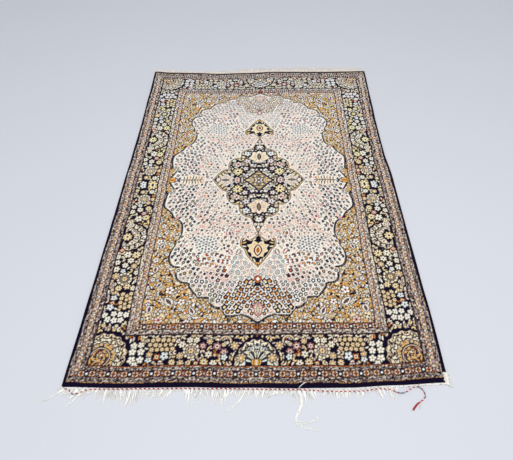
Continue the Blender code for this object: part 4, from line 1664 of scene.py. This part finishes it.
ground = new_grid("cotton_ground", 36, 56)
for vertex in ground.data.vertices:
    u, v = vertex.co.x + 0.5, vertex.co.y + 0.5
    west, east = side_x(-1, v, CARPET_INSET), side_x(1, v, CARPET_INSET)
    south, north = end_y(-1, u), end_y(1, u)
    vertex.co = (west + (east - west) * u, south + (north - south) * v, float(lift(u, v)))
thicken(ground, PILE_FOOT + 0.0004, 1)

cotton, net, place = new_finish("cotton_ground_with_knots")
side_away = RUG_WIDTH / 2 - net.math("ABSOLUTE", place.axis("X"))
end_away = RUG_LENGTH / 2 - net.math("ABSOLUTE", place.axis("Y"))
edge = net.math("MINIMUM", side_away, end_away * 0.95)
stops = [(stop / 400, tuple(DYES[name])) for stop, name in zip(SIDE_STOPS, BAND_DYES)]
stops.append((0.6, tuple(DYES["cream"])))
bands = net.node("ValToRGB", {"stops": stops}, {"Fac": edge / 0.4}, out="Color")
bits, knobs = place.cells(60.0), place.cells(700.0, 0.3)
# Darker away from the middle of each knot on the back: painted shade between the knots.
cloth = ((bits - 0.35) * 6).clamped().mixed(bands, opaque(176, 150, 128)).shaded(0.95 - knobs * 0.3)
shade_with(net, Base_Color=cloth, Roughness=0.75 + knobs * 0.1, Normal=(1 - knobs).bump(0.4, 0.0005))
ground.data.materials.append(cotton)
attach(ground, "root")
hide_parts("carpet")
print("cotton ground faces:", len(ground.data.polygons))

# %% [markdown]
# ## Overcast sides
#
# Along each long side navy silk is wound tightly round a cord. A curve follows the side, its radius swells
# and falls a little from turn to turn, and a fine bump gives the single threads.

# %% Navy silk wound round the side cords
THREAD_PITCH = 0.0011  # metres from one turn of the silk to the next
navy_silk, net, place = new_finish("navy_overcasting")
thread = net.math("SINE", (place.axis("Y") + place.axis("Z") * 0.5) * (math.tau / THREAD_PITCH))
worn = place.noise(35.0, 5.0)
colour = ((worn - 0.56) * 6).clamped().mixed(opaque(5, 2, 16), opaque(30, 24, 38))
bump = thread.bump(0.5, 0.0003)
shade_with(net, Base_Color=colour, Roughness=0.55 + worn * 0.2, Normal=bump, Specular_IOR_Level=0.12)


def overcast_side(name, side, starts):
    """The wound cord along the left (-1) or right (1) side, from this share of the rug's length on."""
    chance = random.Random(31 + side)
    points, radii = [], []
    steps = 720
    for i in range(steps + 1):
        v = starts + (1 - starts) * i / steps
        u = 0 if side < 0 else 1
        y = end_y(-1, u) + (end_y(1, u) - end_y(-1, u)) * v
        x = side_x(side, v, SELVEDGE_WIDE / 2)
        points.append((x + chance.uniform(-0.0001, 0.0001), y, float(lift(u, v)) + CARPET_THICK / 2))
        radii.append(1 + 0.05 * (i % 2) + chance.uniform(-0.03, 0.03))
    made = curve_object(name, [(points, radii, 0)], SELVEDGE_WIDE * 0.96, 2, [navy_silk])
    for vertex in made.data.vertices:
        vertex.co.z = max(vertex.co.z, 0.0)
    return made


for name, side, starts, node in (
    ("overcast_left", -1, 0.0, "selvedge_left"),
    ("overcast_right", 1, (FRAYED_CORNER + SEAM_GAP) / RUG_LENGTH, "selvedge_right"),
):
    piece = overcast_side(name, side, starts)
    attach(piece, "root")
    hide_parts(node)
    print(name, sum(len(face.vertices) - 2 for face in piece.data.polygons), "triangles")

# %% [markdown]
# ## Woven strips and fringes
#
# The warps leave the knots through a narrow woven strip and hang together in locks. The tables give the
# locks' lengths and leans along both ends. Each lock becomes a few thin yarns that spread towards their
# tips, because one thick tongue would look like plastic.

# %% Where the locks lie
FRONT_LOCKS = (
    # x, length_mm, lean_deg
    (-0.636, 26, -58), (-0.610, 30, -46), (-0.575, 34, -42), (-0.545, 36, -38), (-0.530, 12, -30),
    (-0.505, 34, -14), (-0.485, 38, -8), (-0.465, 38, -4), (-0.440, 44, 0), (-0.415, 58, 6),
    (-0.388, 60, 10), (-0.374, 30, 0), (-0.345, 34, -22), (-0.320, 42, -24), (-0.300, 28, -24),
    (-0.280, 34, -28), (-0.262, 10, -10), (-0.235, 9, 0), (-0.220, 56, -12), (-0.206, 24, -20),
    (-0.180, 58, -24), (-0.165, 34, -10), (-0.135, 42, -6), (-0.110, 54, 2), (-0.095, 26, -20),
    (-0.050, 28, -18), (-0.008, 30, -8), (0.018, 30, -14), (0.040, 26, -20), (0.050, 46, -22),
    (0.060, 20, -30), (0.090, 18, -42), (0.116, 20, -38), (0.128, 44, -6), (0.150, 48, 4), (0.169, 40, 16),
    (0.184, 28, 22), (0.196, 8, 10), (0.212, 8, -10), (0.222, 26, -30), (0.245, 30, -16), (0.262, 38, 8),
    (0.276, 34, 14), (0.300, 26, 10), (0.314, 8, 0), (0.330, 24, -14), (0.345, 28, 4), (0.360, 22, 22),
    (0.372, 7, 10), (0.384, 9, 10), (0.395, 34, 10), (0.412, 36, 26), (0.420, 9, 10), (0.432, 42, 6),
    (0.452, 42, 18), (0.459, 6, 10),
)  # fmt: skip
BACK_LOCKS = (
    (-0.615, 20, 20), (-0.470, 24, 8), (-0.330, 22, -12), (-0.180, 36, 14), (-0.060, 52, 20),
    (0.060, 46, -10), (0.200, 54, 8), (0.330, 46, -16), (0.480, 50, 10), (0.610, 36, -8),
)  # fmt: skip
LONG_STRANDS = (
    (-0.6215, (-0.640, -0.949), (-0.661, -0.963), (-0.684, -0.973)),
    (-0.5600, (-0.573, -0.957), (-0.586, -0.976), (-0.600, -0.985)),
    (-0.0360, (-0.052, -0.974), (-0.074, -0.994), (-0.095, -1.010)),
    (0.1370, (0.1425, -0.970), (0.1425, -0.991), (0.1325, -1.011),
     (0.1250, -1.030), (0.1280, -1.048), (0.1540, -1.062), (0.1930, -1.067)),
    (0.1400, (0.1450, -0.970), (0.1450, -0.992), (0.1350, -1.012),
     (0.1280, -1.029), (0.1340, -1.043), (0.1620, -1.046), (0.1950, -1.030)),
)  # fmt: skip
CORNER_TUFT = (
    # heading_deg, length_mm
    (84, 16), (70, 24), (54, 22), (44, 30), (30, 20), (18, 27), (4, 18), (-8, 22), (-22, 16), (-34, 29),
    (-52, 33),
)  # fmt: skip


def lock_line(x, length, lean_deg, end, wave):
    """The middle of a fringe lock in plan, from the strip's outer edge outwards."""
    root_y = end_y(end, x / RUG_WIDTH + 0.5, SEAM_GAP + STRIP_WIDE)
    points = []
    for share in (0.0, 0.4, 0.75, 1.0):
        turn = math.radians(lean_deg * (0.35 + 0.65 * share) + wave * share)
        out = length * share
        points.append((x + out * math.sin(turn), root_y + end * out * math.cos(turn)))
    return points


def lock_lines(table, count, end, seed):
    """Locks spread along an end by its table, each a little uneven."""
    chance = random.Random(seed)
    low, high = table[0][0], table[-1][0]
    found = []
    for i in range(count):
        x = low + (high - low) * (i + chance.uniform(0.3, 0.7)) / count
        length = between(table, x) / 1000 * chance.uniform(0.65, 1.15)
        lean = between(table, x, 2) + chance.uniform(-11, 11)
        found.append(lock_line(x, length, lean, end, chance.uniform(-12, 12)))
    return found


front_locks = lock_lines(FRONT_LOCKS, 150, -1, 3)
back_locks = lock_lines(BACK_LOCKS, 150, 1, 8)
print("locks at the front and back:", len(front_locks), len(back_locks))

# %% Yarn and strip material


def cotton_finish(name, gap_shade, light=1.0, woven=False):
    """Undyed cotton, yellower at the back and greyer in places, with painted shade in its gaps as dark as the
    second argument.

    On a woven strip the outer half is darker and more uneven.
    """
    made, net, place = new_finish(name)
    fibre, dirt, gaps = place.noise(700.0, 3.0), place.noise(18.0, 3.0), place.noise(190.0, 2.0)
    colour = (place.axis("Y") * 4 + 0.5).clamped().mixed(opaque(255, 253, 246), opaque(252, 243, 230))
    colour = ((dirt - 0.58) * 4).clamped().mixed(colour, opaque(222, 212, 198))
    colour = ((gaps - 0.52) * gap_shade).clamped().mixed(colour, opaque(150, 142, 140))
    shade = (0.88 + fibre * 0.24) * light
    if woven:
        outwards = net.node("Attribute", {"attribute_name": "outwards"}, out="Fac")
        shade = shade * (1 - ((outwards - 0.35) * 1.4).clamped() * (0.12 + gaps * 0.40))
    bump = fibre.bump(0.4, 0.0003)
    colour = colour.shaded(shade)
    shade_with(net, Base_Color=colour, Roughness=0.8 + dirt * 0.1, Normal=bump, Sheen_Weight=0.1)
    return made


yarn_finish = cotton_finish("warp_yarn", 0.5)
# A darker copy of the yarn: painted shade for the low yarns between the locks.
shaded_finish = cotton_finish("warp_yarn_in_shade", 0.5, 0.30)
# The woven strip's gaps carry strong painted shade.
strip_finish = cotton_finish("woven_strip", 5.0, woven=True)
print("yarn nodes:", len(yarn_finish.node_tree.nodes))

# %% Yarns of each lock


def yarns_of(line, wide, count, chance, tip_spread, start_z=0.0014, full=1.0):
    """A few thin yarns along a lock, close together at its root and apart at its tip."""
    route = smooth_route(line, max(0.002, route_length(line) / 6))
    last = len(route) - 1
    made = []
    for i in range(count):
        off = (i / max(1, count - 1) - 0.5) * wide * 0.75
        reach, wave, swing = chance.uniform(0.72, 1.0), chance.uniform(0, 6.3), chance.uniform(0.0004, 0.0013)
        hump = chance.uniform(0.0, 0.0022)
        points, radii = [], []
        for j in range(last + 1):
            share = j / last
            at = share * reach * last
            k = min(int(at), last - 1)
            (x0, y0), (x1, y1) = route[k], route[k + 1]
            t = at - k
            dx, dy = x1 - x0, y1 - y0
            long = math.hypot(dx, dy) or 1
            aside = off * (1 + (tip_spread - 1) * share) + swing * math.sin(wave + 7 * share) * share
            radius = full * (1.0 - 0.55 * share**2)
            z = start_z * (1 - share) + 0.0006 * share + hump * math.sin(math.pi * share)
            z = max(z, 0.0016 * radius)  # none sinks into the floor
            points.append((x0 + dx * t - dy / long * aside, y0 + dy * t + dx / long * aside, z))
            radii.append(radius)
        made.append((points, radii, 0))
    return made


def in_shade(line, wide):
    """Short dark yarns low between the light ones: painted shade for the depth of a thick fringe."""
    low_yarns = yarns_of(line, wide, 1, chance, 1.0, 0.0009)
    return [(points[:4], [0.6, 0.55, 0.5, 0.2], 1) for points, _, _ in low_yarns]


chance = random.Random(44)
front_yarns, back_yarns = [], []
for line in front_locks:
    front_yarns += yarns_of(line, 0.0056, chance.choice((2, 2, 3)), chance, 1.0) + in_shade(line, 0.0090)
for line in back_locks:
    back_yarns += yarns_of(line, 0.0080, 3, chance, 1.6, 0.0024)
for x, *rest in LONG_STRANDS:
    root = (x, end_y(-1, x / RUG_WIDTH + 0.5, SEAM_GAP + STRIP_WIDE))
    line = smooth_route([root, *rest], 0.006)
    for off in (-0.0014, 0.0004, 0.0013):
        points = []
        for i, (px, py) in enumerate(line):
            loose = off * (1 + 0.12 * i)
            points.append((px + loose * math.sin(3 + 0.9 * i), py + loose * math.cos(1.3 * i), 0.0015))
        front_yarns.append((points, [0.9 - 0.4 * i / len(points) for i in range(len(points))], 0))
top_x, top_y = side_x(1, FRAYED_CORNER / RUG_LENGTH), end_y(-1, 1) + FRAYED_CORNER
low_x, low_y = side_x(1, 0), end_y(-1, 1, SEAM_GAP + STRIP_WIDE)
for i, (heading, length_mm) in enumerate(CORNER_TUFT):
    share = (i + 0.5) / len(CORNER_TUFT)
    x, y = top_x + (low_x - top_x) * share - 0.003, top_y + (low_y - top_y) * share
    line = [(x, y)]
    for piece_share in (0.5, 1.0):
        turn = math.radians(heading * (0.7 + 0.3 * piece_share))
        out = length_mm / 1000 * piece_share
        line.append((x + out * math.cos(turn), y + out * math.sin(turn)))
    front_yarns += yarns_of(line, 0.006, 2, chance, 1.8, 0.0026, 0.55) + in_shade(line, 0.007)
for off in (0.0, 0.0016, 0.0030, 0.0042):  # bare warps up the frayed corner
    points = []
    for k in range(8):
        x = low_x - 0.0045 + off + 0.0006 * math.sin(2 * k + off * 900)
        points.append((x, low_y + (top_y - low_y) * k / 7, 0.0022))
    front_yarns.append((points, [0.6] * 8, 0))
stray = smooth_route([(0.138, -0.939, 0.0052), (0.148, -0.930, 0.0062), (0.160, -0.922, 0.0060)], 0.004)
front_yarns.append((stray, [0.8] * len(stray), 0))
fringe_front = curve_object("fringe_yarns_front", front_yarns, 0.0032, 0, [yarn_finish, shaded_finish])
fringe_back = curve_object("fringe_yarns_back", back_yarns, 0.0034, 0, [yarn_finish])
print("yarns:", len(front_yarns), len(back_yarns))

# %% The woven strips
RIBS = 420


def woven_strip(name, end):
    """A narrow band of warps and wefts along an end, with a rib for each pair of warps."""
    strip = new_grid(name, RIBS, 4)
    v = 0 if end < 0 else 1
    west, east = side_x(-1, v), side_x(1, v)
    chance = random.Random(60 + end)
    ragged = [chance.uniform(-0.0006, 0.0006) for _ in range(RIBS + 1)]
    outwards = strip.data.attributes.new("outwards", "FLOAT", "POINT")
    outwards.data.foreach_set("value", [vertex.co.y + 0.5 for vertex in strip.data.vertices])
    for vertex in strip.data.vertices:
        u, out = vertex.co.x + 0.5, vertex.co.y + 0.5
        number = round(u * RIBS)
        x = west + (east - west) * u
        y = end_y(end, x / RUG_WIDTH + 0.5, SEAM_GAP + (STRIP_WIDE + ragged[number]) * out)
        rib = 0.00018 * (number % 2) + 0.00012 * math.sin(out * 25 + number)
        vertex.co = (x, y, STRIP_THICK - 0.0003 - 0.0006 * out**3 + rib)
    if end < 0:  # at the front the rows run the other way, so the faces look down until they are flipped
        bpy.ops.object.mode_set(mode="EDIT")
        bpy.ops.mesh.select_all(action="SELECT")
        bpy.ops.mesh.flip_normals()
        bpy.ops.object.mode_set(mode="OBJECT")
    thicken(strip, 0.0011, -1)
    strip.data.materials.append(strip_finish)
    strip.data.shade_smooth()
    return strip


strip_front = woven_strip("woven_strip_front", -1)
strip_back = woven_strip("woven_strip_back", 1)
ends = [strip_front, fringe_front, strip_back, fringe_back]
for piece, node in zip(ends, ("fringe_front", "fringe_front", "fringe_back", "fringe_back")):
    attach(piece, "root")
    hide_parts(node)
zones + ends
print("strips woven")

# %% [markdown]
# ## Floor and light
#
# The rug lies on a plain pale studio floor under a large soft light, with almost no shadow.

# %% Floor, light and surroundings
bpy.ops.object.select_all(action="DESELECT")
bpy.ops.mesh.primitive_plane_add(size=14, location=(0, 2.5, -0.0002))
floor = bpy.context.object
floor.name = "studio_floor"
floor_paint, net, place = new_finish("pale_floor")
cloud = place.noise(0.8, 2.0)
paint = cloud.mixed(opaque(213, 215, 220), opaque(218, 219, 223))
shade_with(net, Base_Color=paint, Roughness=0.6 + 0.1 * cloud)
floor.data.materials.append(floor_paint)

world = bpy.context.scene.world or bpy.data.worlds.new("studio")
bpy.context.scene.world = world
world.use_nodes = True
sky_light = world.node_tree.nodes["Background"].inputs
sky_light["Color"].default_value = (0.90, 0.93, 1.0, 1)
sky_light["Strength"].default_value = 0.68
bpy.ops.object.light_add(type="AREA", location=(0.2, -1.2, 3.4), rotation=(math.radians(18), 0, 0))
softbox = bpy.context.object
softbox.data.shape = "RECTANGLE"
softbox.data.size, softbox.data.size_y = 3.4, 2.6
softbox.data.energy = 68
bpy.context.scene.view_settings.view_transform = "Standard"
print("softbox watts:", softbox.data.energy)
